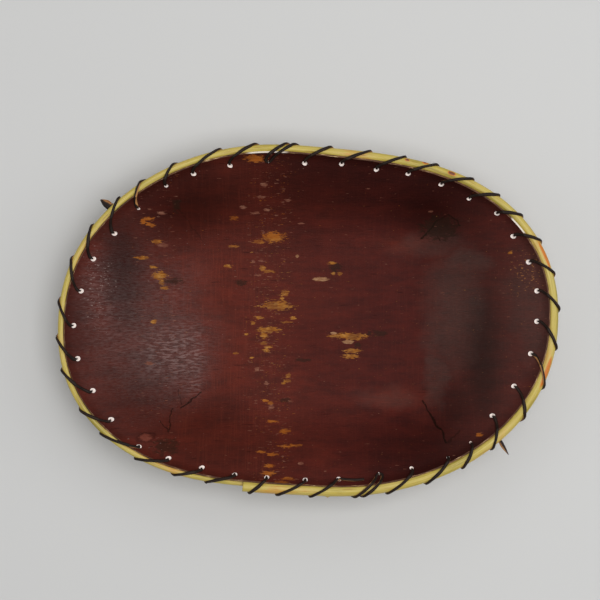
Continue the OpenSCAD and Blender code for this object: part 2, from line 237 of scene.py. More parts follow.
def hole_bearing(i):
    """Bearing of hole i, going on round for more than one lap."""
    return bearing_at(hole_s[i % hole_count]) - 360 * (i // hole_count)


print(hole_count, "holes, mouth", round(girth), "mm round")

# %% [markdown]
# ## Putting arrays into a mesh
#
# A grid of points is a mesh once its cells are named as faces. One helper takes points, four-sided and
# three-sided faces and hands them to Blender as flat arrays, which is far quicker than adding them one
# by one. Values that a finish needs, such as the length along a shoot, go in as attributes.

# %% Mesh helper
MM = 0.001
# Middle of the drawing's box: the CAD moves it to the origin of its frame
middle = np.array([1.226, -0.184, 0.0])


def make_piece(name, points, quads, tris, materials, face_material=None, attributes=()):
    """An object at the origin from points in mm, with faces, finishes and named attributes."""
    mesh = bpy.data.meshes.new(name)
    mesh.vertices.add(len(points))
    mesh.vertices.foreach_set("co", ((points - middle) * MM).astype(np.float32).ravel())
    loops = np.concatenate([quads.ravel(), tris.ravel()]).astype(np.int32)
    starts = np.concatenate([4 * np.arange(len(quads)), quads.size + 3 * np.arange(len(tris))])
    mesh.loops.add(len(loops))
    mesh.loops.foreach_set("vertex_index", loops)
    mesh.polygons.add(len(starts))
    mesh.polygons.foreach_set("loop_start", starts.astype(np.int32))
    if face_material is not None:
        mesh.polygons.foreach_set("material_index", face_material.astype(np.int32))
    mesh.update(calc_edges=True)
    mesh.validate()
    mesh.shade_smooth()
    for key, value in attributes:
        kind, field = ("FLOAT_VECTOR", "vector") if value.ndim > 1 else ("FLOAT", "value")
        mesh.attributes.new(key, kind, "POINT").data.foreach_set(field, value.astype(np.float32).ravel())
    for material in materials:
        mesh.materials.append(material)
    piece = bpy.data.objects.new(name, mesh)
    bpy.context.collection.objects.link(piece)
    return piece


def grid_quads(rows, cols):
    """Faces of a grid of rows by cols points, its last column joined to the first."""
    i, j = np.meshgrid(np.arange(rows - 1), np.arange(cols), indexing="ij")
    k = (j + 1) % cols
    return np.stack([i * cols + j, i * cols + k, (i + 1) * cols + k, (i + 1) * cols + j], -1).reshape(-1, 4)


print("a 3 by 4 ring of points has", len(grid_quads(3, 4)), "faces")

# %% [markdown]
# ## Finishes as nodes
#
# Every finish is a small tree of nodes. The class below adds one node at a call and gives back its
# output, so a recipe reads like a sum. Patterns are in millimetres on the piece's own coordinates.

# %% Node helper
class Finish:
    """A material whose nodes are added one call at a time."""

    def __init__(self, name):
        self.material = bpy.data.materials.new(name)
        self.material.use_nodes = True
        self.tree = self.material.node_tree
        self.tree.nodes.clear()

    def add(self, kind, out=0, settings=None, values=(), **inputs):
        """Adds a node, sets or links its inputs in order or by name, and answers with one output."""
        node = self.tree.nodes.new(kind)
        for key, value in (settings or {}).items():
            setattr(node, key, value)
        for key, value in (*enumerate(values), *inputs.items()):
            if isinstance(value, bpy.types.NodeSocket):
                self.tree.links.new(value, node.inputs[key])
            elif value is not None:
                node.inputs[key].default_value = value
        return node.outputs[out]

    def attribute(self, name, out="Fac"):
        """Values that the mesh carries at its points."""
        return self.add("ShaderNodeAttribute", out, {"attribute_name": name})

    def axis(self, vector, number):
        """One of a vector's three numbers."""
        return self.add("ShaderNodeSeparateXYZ", number, Vector=vector)

    def place(self):
        """Object coordinates in millimetres."""
        here = self.add("ShaderNodeTexCoord", "Object")
        return self.stretch(here, (1000, 1000, 1000))

    def stretch(self, vector, scale, shift=(0, 0, 0)):
        """Coordinates times a scale, then shifted."""
        return self.add("ShaderNodeMapping", Vector=vector, Scale=scale, Location=shift)

    def noise(self, vector, scale, detail=3.0, rough=0.5):
        """Soft random values from 0 to 1, mostly near a half."""
        return self.add("ShaderNodeTexNoise", "Fac", Vector=vector, Scale=scale, Detail=detail, Roughness=rough)

    def streaks(self, vector, scale, detail, rough, shift=(0, 0, 0)):
        """Noise on stretched coordinates: lenticels, dashes and fibres."""
        return self.noise(self.stretch(vector, scale, shift), 1.0, detail, rough)

    def math(self, operation, *values):
        """One sum on numbers."""
        return self.add("ShaderNodeMath", 0, {"operation": operation}, values)

    def times(self, a, b, plus=None):
        """a b, or a b + plus."""
        return self.math("MULTIPLY", a, b) if plus is None else self.math("MULTIPLY_ADD", a, b, plus)

    def most(self, a, b):
        """The greater of two numbers, or b alone while there is no a."""
        return b if a is None else self.math("MAXIMUM", a, b)

    def vector(self, operation, *values, out=0):
        """One sum on vectors."""
        return self.add("ShaderNodeVectorMath", out, {"operation": operation}, values)

    def step(self, value, low, high, to_low=0.0, to_high=1.0):
        """Smooth step of a value from low to high."""
        settings = {"interpolation_type": "SMOOTHSTEP"}
        return self.add("ShaderNodeMapRange", 0, settings, (value, low, high, to_low, to_high))

    def blend(self, share, a, b, kind="MIX"):
        """Colour a, with a share of colour b laid over it."""
        a, b = ((*c, 1.0) if isinstance(c, tuple) else c for c in (a, b))
        settings = {"data_type": "RGBA", "blend_type": kind}
        return self.add("ShaderNodeMix", 2, settings, (share, *[None] * 5, a, b))

    def ramp(self, value, *stops):
        """Colours along a value, given as (place, colour) pairs."""
        node = self.tree.nodes.new("ShaderNodeValToRGB")
        self.tree.links.new(value, node.inputs[0])
        bar = node.color_ramp.elements
        while len(bar) < len(stops):
            bar.new(0.5)
        for stop, (where, colour) in zip(bar, stops):
            stop.position, stop.color = where, (*colour, 1.0)
        return node.outputs[0]

    def bump(self, height, depth):
        """Normal of a relief of a depth in millimetres."""
        return self.add("ShaderNodeBump", Height=height, Distance=depth * MM)

    def finish(self, colour, rough, normal=None, gleam=0.5):
        """Closes the tree with one surface shader."""
        shader = self.add("ShaderNodeBsdfPrincipled", **{
            "Base Color": colour, "Roughness": rough, "Normal": normal, "Specular IOR Level": gleam})
        output = self.tree.nodes.new("ShaderNodeOutputMaterial")
        self.tree.links.new(shader, output.inputs["Surface"])
        return self.material


def srgb(red, green, blue):
    """A colour given on a screen's scale, 0 to 255, as the light it stands for."""
    c = np.array([red, green, blue]) / 255
    return tuple(float(x) for x in np.where(c <= 0.04045, c / 12.92, ((c + 0.055) / 1.055) ** 2.4))


print("mid grey as light:", round(srgb(128, 128, 128)[0], 3))

# %% [markdown]
# ## Rind: the face that the photograph shows
#
# The inside of the tray is the bark's dark rind. It is red-brown, crossed by short lenticels that all
# run along the tray. Where a flake has come away, the ochre layer below shows, and thinner flakes leave
# a pale pink one. Those that can be told apart are listed one by one: each is an oval, measured in
# millimetres from the middle of the tray, and noise that is stretched along the grain tears its ends.
# Smaller ones come from noise alone, kept to the two bands where the real bark has them. The rind also has
# fine hairlines across the grain and a grey bloom on both end walls that is partly painted sheen. A painted
# sheen lies on the left wall, painted light on the floor beside the right-hand pleats, and painted shade at
# the sides, corners and creases.

# %% Flakes listed one by one: middle and half size
ochre_flakes = [
    (-22.5, 54.5, 8, 3.6), (-32, 51.5, 4.6, 1.5), (-52.5, 35.5, 2.7, 1.2), (-30, 34, 2.2, 2.2),
    (-25.5, 32, 3.5, 1.2), (-15, 17.5, 2.7, 2.3), (-17, 14, 1.3, 1.7), (-20, 9.5, 8.3, 3.5),
    (-20.5, 9, 12.8, 1), (-32, 1.5, 3.5, 1.1), (-9.5, 1.2, 2.4, 1.2), (-14, -1.5, 3.6, 0.8),
    (-36.5, -2, 1.6, 1.4), (-26, -6.5, 7.8, 2), (-29, -10, 2.6, 2.5), (-40.5, -9.5, 1.5, 0.8),
    (-29, -15.5, 2.4, 1.3), (-26, -17.8, 2.8, 1.1), (-27.5, -20, 2.4, 1.2), (-47.5, -22, 2, 0.8),
    (-37, -25, 1.5, 0.8), (-13, -37, 1.8, 1.7), (-13.5, -40.4, 2.4, 1.1), (-16.5, -41.8, 1.8, 0.7),
    (-28, -53.2, 2.2, 1), (-24.5, -54.8, 2.2, 1), (-34, 103.5, 6.7, 2.4), (27, -10.5, 12.9, 1.9),
    (30.5, -12, 6, 1.8), (29.5, -20.5, 5.6, 1.7), (28.5, -24, 5.8, 1.5), (-48.5, 67, 2.8, 1.7),
    (-102.5, 65.2, 3.9, 1.2), (-102.5, 62, 2.2, 1.1), (-100.5, 61, 2.2, 1.1), (-106, 63.5, 1.8, 1.9),
    (-107.5, 40.5, 4.8, 1.1), (-100.5, 34.5, 2.6, 0.9), (-97, 29, 4.9, 2.8), (-95.5, 24.5, 1.8, 2.3),
    (-94, 21, 2.8, 1.2), (-100.5, -1, 2.2, 1.5), (-23.5, -66.5, 4, 0.9), (-15, -72.5, 4, 1.5),
    (-15, -81.8, 5, 0.9), (-8, -81.2, 4.5, 0.8), (-30.5, -85, 2.9, 0.8), (-23, -86.5, 4.2, 1),
    (-25, -93.5, 3.4, 1.2), (-25.5, -98, 4.6, 1.7), (-12.5, -101, 4.2, 1), (-17.5, -103.5, 4.4, 1.4),
    (109.5, -73, 2, 1.4), (129.5, 43.5, 1.6, 1.1), (16, 37.5, 2.9, 1), (16.5, 30.5, 1.6, 1),
    (21, 30.5, 1.9, 1.3), (-98, 51, 3.4, 1.4), (-49, 48.5, 4, 0.9),
]
pale_flakes = [
    (-36, 38.5, 1.2, 1.2), (-31, 39, 1.5, 0.6), (-33, 29.5, 2.3, 0.7), (-33.5, -32.5, 1.5, 1.3),
    (-27.5, -42, 1.6, 1.2), (-24, -57.5, 2, 1.2), (-28.5, 87.5, 2.3, 1.3), (-30.5, 80, 2.6, 0.8),
    (-13, 78, 1.7, 0.9), (-42.5, 73.5, 2.3, 1), (-27, 72, 2, 1), (-34.5, 70, 3, 0.9), (-4.5, 63.5, 2, 0.7),
    (-94.5, 69, 2.3, 1), (-94.5, 49, 3, 1.3), (-103.5, -28, 2.8, 1), (-4.5, -92, 2, 0.8),
    (79.5, 70.5, 1.4, 0.6),
]
bright_flakes = [(8.5, 26.8, 5.4, 1.3), (17, -9, 2.4, 1.0), (26.5, -14.5, 3.6, 1.4), (-7, 42, 1.2, 1.1)]
flake_gaps = [(40, -9.3, 1.7, 1.0), (33, -16.8, 3.4, 0.9), (15, 26, 1.2, 0.6)]
# Stains: middle and half size. The last, in the upper right fold, is partly painted shade
stains_and_fold_shade = [
    (18, 34.5, 3.8, 3.2), (40.5, -9, 1.6, 1.4), (-88, 25.5, 6, 2), (-44, 24.5, 4, 2), (-15, -53, 5, 1.6),
    (-3, -26.5, 6, 1.4), (47, -9, 5, 2.4), (33, -16.5, 3, 1.8), (-91, -81, 9, 5), (-85, 74, 2.6, 4),
    (86, 60, 12, 8),
]
print(len(ochre_flakes), "ochre and", len(pale_flakes + bright_flakes), "pale flakes,", len(stains_and_fold_shade), "stains_and_fold_shade")

# %% Painted shade along creases: ends of a line, half width and share
crease_shade_lines = [
    (75, 53, 84.5, 65.5, 0.7, 1.0), (84.5, 65.5, 91, 68.5, 0.6, 0.6), (91, 68.5, 98, 62, 0.7, 0.8),
    (85, 54.5, 86.5, 52.5, 0.6, 0.7), (75.5, -53, 89, -78, 0.8, 1.0), (90, -77.5, 97.5, -71, 0.7, 0.5),
    (-71, -48.5, -83, -58, 0.7, 1.0), (-85, -46, -82.5, -55.5, 0.4, 0.6), (-88.5, -57, -90, -71, 0.6, 0.9),
    (-95, -65.5, -90, -71, 0.6, 0.8), (-84.5, 72.5, -69, 51, 0.6, 0.35),
]
print(len(crease_shade_lines), "crease_shade_lines")

# %% [markdown]
# The grey bloom, partly painted sheen, and the painted shade, painted sheen, painted light and specks are soft
# ovals of the same kind, each with a share from 0 to 1.

# %% Soft spots: middle, half size and share
# Grey bloom on both end walls, partly painted sheen; the ovals at the foot of the right wall are painted
# highlights on its lit bands
bloom_and_sheen_spots = [
    (-96, -16, 52, 58, 0.85), (-112, 0, 62, 86, 0.58), (98, 8, 34, 68, 0.7), (142, 6, 38, 80, 0.6),
    (-136, 14, 14, 40, 0.5), (85, -33, 10, 30, 0.62), (52, -50, 36, 9, 0.3), (86, 48, 36, 14, 0.5),
    (102, 36, 28, 16, 0.72), (93, -8, 20, 44, 0.6), (122, -12, 66, 112, 0.34),
]
# Painted shade: darker ovals on the top wall, steep bands, corners and pleats, where less light falls
shade_spots = [
    (20, 108, 150, 58, 0.62), (84, 84, 62, 41, 0.64), (86, -94, 74, 40, 0.56), (-119, 36, 24, 68, 0.7),
    (113, -22, 18, 66, 0.66), (-70, -100, 90, 50, 0.3), (-86, 82, 80, 54, 0.66), (-112, -52, 56, 48, 0.4),
    (-152, -6, 26, 80, 0.5), (-27, 62, 66, 36, 0.28), (-62, -60, 44, 28, 0.34), (97, -56, 17, 20, 0.4),
]
# Painted sheen on the left end wall, where the light from the right is reflected
sheen_spots = [
    (-84, -21, 42, 30, 0.7), (-94, 20, 32, 34, 0.16), (-116, -8, 34, 44, 0.2), (-134, 14, 18, 44, 0.3),
    (-75, -42, 13, 13, 0.5),
]
# Painted light: lighter floor beside the two right-hand pleats, where the edge of the floor is lit
lit_foot_spots = [(58, -51, 36, 12, 0.8), (62, 50, 32, 10, 0.7)]
speck_spots = [(-134, 22, 18, 46, 1.0), (139, 30, 22, 26, 1.0), (-84, -20, 40, 40, 0.4)]
for kind, spots in (("bloom_and_sheen", bloom_and_sheen_spots), ("shade", shade_spots), ("sheen", sheen_spots),
                    ("warm_and_lit", lit_foot_spots), ("speck", speck_spots)):
    print(len(spots), kind, "spots")

# %% Ovals, spots and creases
def oval(f, flat, x, y, wide, high):
    """Distance from an oval's middle, 1 on its rim: length of (p - middle) divided by its half sizes."""
    local = f.vector("MULTIPLY_ADD", flat, (1 / wide, 1 / high, 0), (-x / wide, -y / high, 0))
    return f.vector("LENGTH", local, out="Value")


def nearest_oval(f, flat, ovals):
    """The least of the distances to some ovals."""
    nearest = oval(f, flat, *ovals[0])
    for each in ovals[1:]:
        nearest = f.math("MINIMUM", nearest, oval(f, flat, *each))
    return nearest


def soft_spots(f, flat, spots):
    """The greatest share of some soft spots: each falls from its share in the middle to 0 at its rim."""
    most = None
    for *place, share in spots:
        most = f.most(most, f.step(oval(f, flat, *place), 1.0, 0.1, 0, share))
    return most


def crease_lines(f, flat, lines):
    """Share of the nearest crease: full on the line from p0 to p1, 0 at its half width, where the place on
    the line is p0 + d min(1, max(0, (p - p0).d / d.d))."""
    most = None
    for x0, y0, x1, y1, half_width, share in lines:
        d = (x1 - x0, y1 - y0)
        dd = d[0] ** 2 + d[1] ** 2
        away = f.vector("ADD", flat, (-x0, -y0, 0))
        along = f.vector("DOT_PRODUCT", away, (d[0] / dd, d[1] / dd, 0), out="Value")
        held = f.math("MINIMUM", f.most(along, 0.0), 1.0)
        dx = f.times(held, -d[0], f.vector("DOT_PRODUCT", away, (1, 0, 0), out="Value"))
        dy = f.times(held, -d[1], f.vector("DOT_PRODUCT", away, (0, 1, 0), out="Value"))
        far = f.math("SQRT", f.times(dx, dx, f.times(dy, dy)))
        most = f.most(most, f.step(far, half_width, 0.25 * half_width, 0, share))
    return most


def shaken(f, flat, scale, reach):
    """Places moved about by noise, up to a reach in millimetres, so that what is laid on them looks grown."""
    move = f.add("ShaderNodeTexNoise", "Color", Vector=flat, Scale=scale, Detail=3.0, Roughness=0.6)
    back = f.vector("ADD", flat, (-reach, -reach, 0))
    return f.vector("MULTIPLY_ADD", move, (2 * reach, 2 * reach, 0), back)


print("an oval is 1 on its rim, a spot or crease 0")

# %% Ground of the rind
def rind_ground(f, flat, x):
    """Red-brown rind: warmer to the left, streaked, with painted shade at the sides and corners, painted light
    beside the right-hand pleats, dashes, a grey film that is partly painted sheen, and a painted sheen on the
    left wall.
    """
    broad = f.noise(flat, 0.03, 3, 0.55)
    warm_and_lit = f.step(f.times(broad, 90.0, x), 100.0, -20.0)
    # Painted light beside the right-hand pleats joins the warmer tone to the left
    warm_and_lit = f.most(warm_and_lit, soft_spots(f, flat, lit_foot_spots))
    rind = f.blend(warm_and_lit, srgb(69, 29, 25), srgb(87, 38, 30))
    mottle = f.streaks(flat, (0.05, 0.16, 1), 5, 0.65, (3, 50, 0))
    rind = f.blend(1.0, rind, f.ramp(mottle, (0.36, (0.80, 0.86, 0.90)), (0.64, (1.22, 1.06, 1.0))), "MULTIPLY")
    hair = f.step(f.streaks(flat, (0.95, 0.04, 1), 4, 0.65), 0.48, 0.66)
    beside = f.step(f.math("ABSOLUTE", f.math("ADD", x, 60.0)), 52.0, 14.0, 0.1, 0.42)
    rind = f.blend(f.times(hair, beside), rind, srgb(108, 48, 36))
    # Painted shade: the rind darkened towards dark maroon in the shade ovals
    rind = f.blend(soft_spots(f, flat, shade_spots), rind, srgb(24, 9, 8))
    # Mask of the grey bloom, partly painted sheen, with rims shaken by noise
    bloom_and_sheen = soft_spots(f, shaken(f, flat, 0.035, 16), bloom_and_sheen_spots)
    dash = f.streaks(flat, (0.16, 1.1, 1), 3, 0.6)
    dark_dash = f.times(f.step(dash, 0.60, 0.66), f.times(bloom_and_sheen, 0.5, 0.2))
    rind = f.blend(dark_dash, rind, srgb(40, 18, 15))
    long_dash = f.step(f.streaks(flat, (0.06, 0.75, 1), 2, 0.5, (70, 20, 0)), 0.68, 0.74, 0, 0.6)
    rind = f.blend(long_dash, rind, srgb(40, 12, 10))
    fine = f.streaks(flat, (0.35, 1.5, 1), 4, 0.7, (5, 90, 0))
    # Under the bloom the rind is darkened here and lightened with grey further down: partly bloom, partly
    # painted sheen
    rind = f.blend(f.times(bloom_and_sheen, 0.4), rind, srgb(30, 13, 11))
    right = f.step(x, -30.0, 30.0)
    grain = f.step(fine, 0.30, 0.72, 0.2, 2.2)
    grain = f.times(f.math("SUBTRACT", 1.15, grain), f.times(right, 0.7), grain)
    grey = f.blend(right, (0.029, 0.029, 0.028), (0.031, 0.0275, 0.0235))
    rind = f.blend(f.times(bloom_and_sheen, grain), rind, grey, "ADD")
    # Painted sheen: rippled light grey added on the left wall, weaker towards its foot
    sheen = f.times(soft_spots(f, flat, sheen_spots), f.step(x, -64.0, -74.0, 0.2, 1.0))
    ripple = f.step(f.streaks(flat, (0.2, 0.85, 1), 4, 0.6, (40, 12, 0)), 0.47, 0.60)
    return f.blend(f.times(sheen, ripple), rind, (0.12, 0.094, 0.09), "ADD")


print("ground of the rind defined")

# %% Marks on the rind
# The raised knot of the sheet: its place in the drawing, less middle
knot_oval = (-103.8, -75, 5.0, 3.0)


def rind_marks(f, flat, rind):
    """Painted shade along the creases, ragged stained patches with painted shade in the upper right fold, one
    red knot with a painted shaded ring, and small specks over the rind.
    """
    # Painted shade: dark thin lines along the creases of the pleats, on shaken places
    lines = crease_lines(f, shaken(f, flat, 0.13, 3), crease_shade_lines)
    rind = f.blend(f.times(lines, 0.8), rind, srgb(22, 14, 9))
    rough = f.streaks(flat, (0.25, 0.5, 1), 4, 0.7, (9, 9, 0))
    # Stains, and painted shade in the upper right fold, with ragged rims
    stain_and_fold_shade = f.step(f.times(rough, 3.0, nearest_oval(f, flat, stains_and_fold_shade)), 2.7, 2.1)
    rind = f.blend(f.times(stain_and_fold_shade, 0.6), rind, srgb(36, 28, 20))
    knot_far = f.times(rough, 2.4, oval(f, flat, *knot_oval))
    # Painted shade: a dark ring round the raised knot
    rind = f.blend(f.step(knot_far, 2.6, 2.3, 0, 0.4), rind, srgb(34, 14, 11))
    rind = f.blend(f.step(knot_far, 2.2, 1.6, 0, 0.7), rind, srgb(116, 60, 48))
    dots = f.streaks(flat, (0.45, 1.0, 1), 3, 0.6, (2, 33, 0))
    place = soft_spots(f, flat, speck_spots)
    dots = f.step(f.times(place, 0.12, dots), 0.70, 0.76, 0, 0.6)
    fleck = f.blend(f.step(f.axis(flat, 0), -20.0, 20.0), srgb(150, 128, 122), srgb(168, 112, 64))
    return f.blend(dots, rind, fleck)


print("marks defined, knot at", knot_oval[:2])

# %% Flakes over the rind
def rind_flakes(f, flat, x, rind):
    """Torn flakes over the rind, and the share of the surface that they take up."""
    ragged = f.streaks(flat, (0.30, 1.15, 1), 5, 0.72)
    torn = f.times(ragged, 3.6, -1.8)
    tint = f.streaks(flat, (0.2, 0.8, 1), 4, 0.65)
    pale = f.ramp(tint, (0.3, srgb(98, 54, 44)), (0.5, srgb(122, 76, 60)), (0.7, srgb(150, 110, 90)))
    speck = f.streaks(flat, (0.22, 1.1, 1), 2, 0.5, (31, 7, 0))
    band_mid = f.step(f.math("ABSOLUTE", f.math("ADD", x, 24.0)), 24.0, 6.0)
    band_left = f.step(f.math("ABSOLUTE", f.math("ADD", x, 98.0)), 22.0, 8.0, 0, 0.7)
    small = f.step(f.times(f.most(band_mid, band_left), 0.07, speck), 0.71, 0.74)
    colour = f.blend(f.times(small, 0.6), rind, pale)
    pale_flake = f.step(f.math("ADD", nearest_oval(f, flat, pale_flakes), torn), 1.1, 0.8)
    colour = f.blend(f.times(pale_flake, 0.85), colour, pale)
    bright = f.step(f.math("ADD", nearest_oval(f, flat, bright_flakes), f.times(torn, 0.5)), 1.1, 0.8)
    light = f.ramp(tint, (0.3, srgb(116, 74, 50)), (0.5, srgb(142, 102, 72)), (0.7, srgb(176, 142, 108)))
    colour = f.blend(bright, colour, light)
    far = f.math("ABSOLUTE", f.axis(flat, 1))
    ochre = f.ramp(tint, (0.3, srgb(118, 62, 25)), (0.5, srgb(152, 98, 40)), (0.7, srgb(178, 130, 70)))
    ochre = f.blend(f.step(far, 42.0, 60.0, 0, 0.7), ochre, srgb(146, 76, 25))
    flake = f.step(f.math("ADD", nearest_oval(f, flat, ochre_flakes), torn), 1.0, 0.72)
    chip = f.streaks(flat, (0.28, 1.2, 1), 3, 0.6, (11, 77, 0))
    chip = f.step(f.times(band_mid, 0.07, chip), 0.71, 0.74, 0, 0.8)
    flake = f.most(chip, f.times(flake, f.step(nearest_oval(f, flat, flake_gaps), 0.8, 1.2)))
    flake = f.times(flake, f.step(f.noise(flat, 0.11, 2), 0.38, 0.58, 0.5, 1.0))
    return f.blend(flake, colour, ochre), flake


print("flakes defined")

# %% Rind
def make_rind():
    """Ground, marks and flakes together. Dashes and noise alone feed the relief, because the long chains
    of ovals would overfill the shader there."""
    f = Finish("bark_rind")
    flat = f.vector("MULTIPLY", f.place(), (1, 1, 0))
    x = f.axis(flat, 0)
    rind = rind_marks(f, flat, rind_ground(f, flat, x))
    colour, flake = rind_flakes(f, flat, x, rind)
    gloss = f.times(f.noise(flat, 0.5, 4, 0.65), 0.2, 0.32)
    gloss = f.most(gloss, f.times(flake, 0.72))
    dash = f.streaks(flat, (0.16, 1.1, 1), 3, 0.6)
    relief = f.times(dash, -0.7, f.streaks(flat, (0.3, 0.9, 1), 5, 0.65))
    return f.finish(colour, gloss, f.bump(relief, 0.3), 0.03)


rind_finish = make_rind()
print("rind nodes:", len(rind_finish.node_tree.nodes))

# %% [markdown]
# ## Outer bark and cut edge
#
# The rind side is turned up, so the outside of the tray is the pale outer bark of the tree: chalky
# white to buff, with dark lenticels in line with those inside and papery patches. The cut edge shows
# the sheet's thin layers in ochre. The photograph hides the outside, so this side is a reasoned guess.

# %% Outer bark and cut edge
pale_edge_spots = [(-26, 107, 12, 5), (135, 62, 6, 7)]


def make_outer_bark():
    """Chalky pale bark with dark lenticel lines and buff papery patches."""
    f = Finish("bark_outer")
    flat = f.stretch(f.place(), (1, 1, 0.6))
    patch = f.streaks(flat, (0.02, 0.05, 0.05), 5, 0.6)
    pale = f.ramp(patch, (0.35, srgb(206, 186, 158)), (0.5, srgb(222, 210, 190)), (0.68, srgb(196, 160, 122)))
    dash = f.streaks(flat, (0.07, 0.8, 0.8), 2, 0.5)
    line = f.step(dash, 0.63, 0.68)
    layer = f.streaks(flat, (0.05, 0.6, 0.6), 5, 0.7, (40, 0, 0))
    pale = f.blend(f.step(layer, 0.52, 0.75, 0, 0.6), pale, srgb(168, 128, 92))
    colour = f.blend(line, pale, srgb(74, 52, 42))
    relief = f.times(line, 0.6, layer)
    return f.finish(colour, 0.72, f.bump(relief, 0.4))


def make_cut_edge():
    """Layers of the sheet: thin ochre and brown lines along the thickness, near white at two places."""
    f = Finish("bark_cut_edge")
    here = f.place()
    layer = f.streaks(here, (0.15, 0.15, 3.0), 4, 0.6)
    colour = f.ramp(layer, (0.4, srgb(62, 36, 24)), (0.58, srgb(110, 72, 44)), (0.68, srgb(206, 176, 130)))
    # Near white at two places along the top and the right of the edge
    pale_spot = nearest_oval(f, f.vector("MULTIPLY", here, (1, 1, 0)), pale_edge_spots)
    colour = f.blend(f.step(pale_spot, 1.2, 0.8), colour, srgb(226, 216, 204))
    return f.finish(colour, 0.7, f.bump(layer, 0.2))


def make_torn_bark():
    """White torn fibres of the outer bark in the awl holes."""
    f = Finish("bark_torn")
    fray = f.noise(f.place(), 1.4, 3, 0.6)
    colour = f.ramp(fray, (0.25, srgb(226, 204, 192)), (0.6, srgb(246, 236, 230)))
    return f.finish(colour, 0.8, gleam=0.3)


outer_finish = make_outer_bark()
cut_finish = make_cut_edge()
torn_finish = make_torn_bark()
print("finishes:", outer_finish.name, cut_finish.name, torn_finish.name)

# %% [markdown]
# ## Bark sheet
#
# The wall is a grid of columns, each at one bearing, and rows from the edge down to the foot. The rows
# go on inwards over the floor to its middle. Columns and rows crowd round every awl hole, where a
# small square block of the grid is pulled round: a point at square distance d from the hole's middle
# moves towards the circle of radius d. The faces inside the hole's circle are left out, which opens it.

# %% Holes square to the edge
def square_to_edge(s, depth):
    """Lengths along the mouth whose wall lines meet the upright sections at lengths s, at a depth: the wall's
    lines run to the foot, not square to the edge. Two steps of Newton's rule on the slip along the edge."""
    a0 = bearing_at(s)
    out = edge_out(a0)
    along = np.stack([out[:, 1], -out[:, 0]], -1)

    def slip(t):
        a = bearing_at(t)
        return ((smooth_wall(a, depth_to_v(a, depth))[:, :2] - mouth(a0)) * along).sum(-1)

    for _ in range(2):
        s = s - slip(s) / (slip(s + 0.5) - slip(s - 0.5))
    return s


seat_s = square_to_edge(hole_s, hole_depths)
print("holes seated off their wall lines by up to", np.abs(seat_s - hole_s).max().round(1), "mm")

# %% Columns and rows of the wall
block_b = 3.6
collar = np.array([2.75, block_b])
block = np.concatenate([-collar[::-1], hole_r * np.arange(-4, 5) / 4, collar])
rim_shares = np.array([0, 0.5])
gap_from, gap_to = seat_s + block_b, np.append(seat_s[1:], seat_s[0] + girth) - block_b
between = mix(gap_from[:, None], gap_to[:, None], np.arange(1, 7) / 7)
pleat_bearings = np.array([pleat_a, 180 - pleat_a, 180 + pleat_a, 360 - pleat_a])
pleat_s = length_at(pleat_bearings)
beside_pleat = np.array([-2.0, -1.2, -0.7, -0.3, 0, 0.3, 0.7, 1.2, 2.0])
near = np.abs(between[..., None] - pleat_s).min(-1) < 2.3
column_s = np.concatenate([
    (seat_s[:, None] + block).ravel(), between[~near], (pleat_s[:, None] + beside_pleat).ravel()]) % girth
column_s = np.sort(column_s)
row_depth = np.interp(column_s, np.stack([seat_s - block_b, seat_s + block_b], 1).ravel(),
                      np.repeat(hole_depths, 2), period=girth)
low_rows = np.concatenate([[0.95], np.linspace(0.9, 0.62, 13), np.linspace(0.57, 0, 13)])
print("columns:", len(column_s), "rows of the wall:", len(rim_shares) + len(block) + len(low_rows))

# %% Grid with round holes
nearest_hole = np.abs(short_way(column_s[:, None] - seat_s, girth)).argmin(1)
block_x = short_way(column_s - seat_s[nearest_hole], girth)
sx, sy = np.broadcast_arrays(block_x, block[:, None])
square = np.maximum(np.maximum(np.abs(sx), np.abs(sy)), 1e-6)
pull = np.clip((block_b - square) / (block_b - hole_r), 0, 1)
to_circle = mix(1.0, square / np.maximum(np.hypot(sx, sy), 1e-6), pull)


def wall_grid(radii):
    """Bearing and share v of every wall point, with holes of given radii: the rings of a block are spread
    evenly from the hole's radius to the block's rim."""
    radius = radii[nearest_hole]
    rim = np.maximum(square, block_b)
    spread_out = mix(radius, rim, (square - hole_r) / (rim - hole_r))
    ring = np.where(square < hole_r, square * radius / hole_r, spread_out)
    scale = to_circle * ring / square
    band_s, band_depth = seat_s[nearest_hole] + sx * scale, row_depth + sy * scale
    rim_depth = rim_shares[:, None] * (row_depth - block_b)
    a = bearing_at(np.concatenate([np.tile(column_s, (len(rim_shares), 1)), band_s]))
    v = depth_to_v(a, np.concatenate([rim_depth, band_depth]))
    a = np.concatenate([a, np.tile(bearing_at(column_s), (len(low_rows), 1))])
    return a, np.concatenate([v, v[-1] * low_rows[:, None]])


hole_radii = np.where(np.arange(hole_count) < 15, 1.65, 1.7)
hole_radii[[4, 5, 8, 14, 23, 24, 25, 26]] = (1.0, 1.3, 0.9, 1.35, 0.9, 1.1, 1.35, 1.0)
print("wall grid:", wall_grid(hole_radii)[1].shape)

# %% [markdown]
# At each corner of the floor the spare bark is folded into a pleat. It lies in a groove that is deepest
# at the fold line and fades into the end wall. The foot of the wall is no sharp edge: a parabola rounds
# it. Slow swells and one raised knot come from the growth of the tree and from bending by hand.

# %% Pleats, foot and swells
pleat_tip, pleat_fade, pleat_foot = 0.68, 0.3, 0.08
side_turn, end_turn = 6.5, 16
pleat_depths = np.array([2.2, 1.0, 1.8, 2.4])
foot_w, swell_h, floor_rise, floor_swell = 16.0, 0.35, 0.4, 0.45
knot, knot_l, knot_w, knot_h = np.array([-102.6, -75.2]), 4.4, 2.6, 1.3


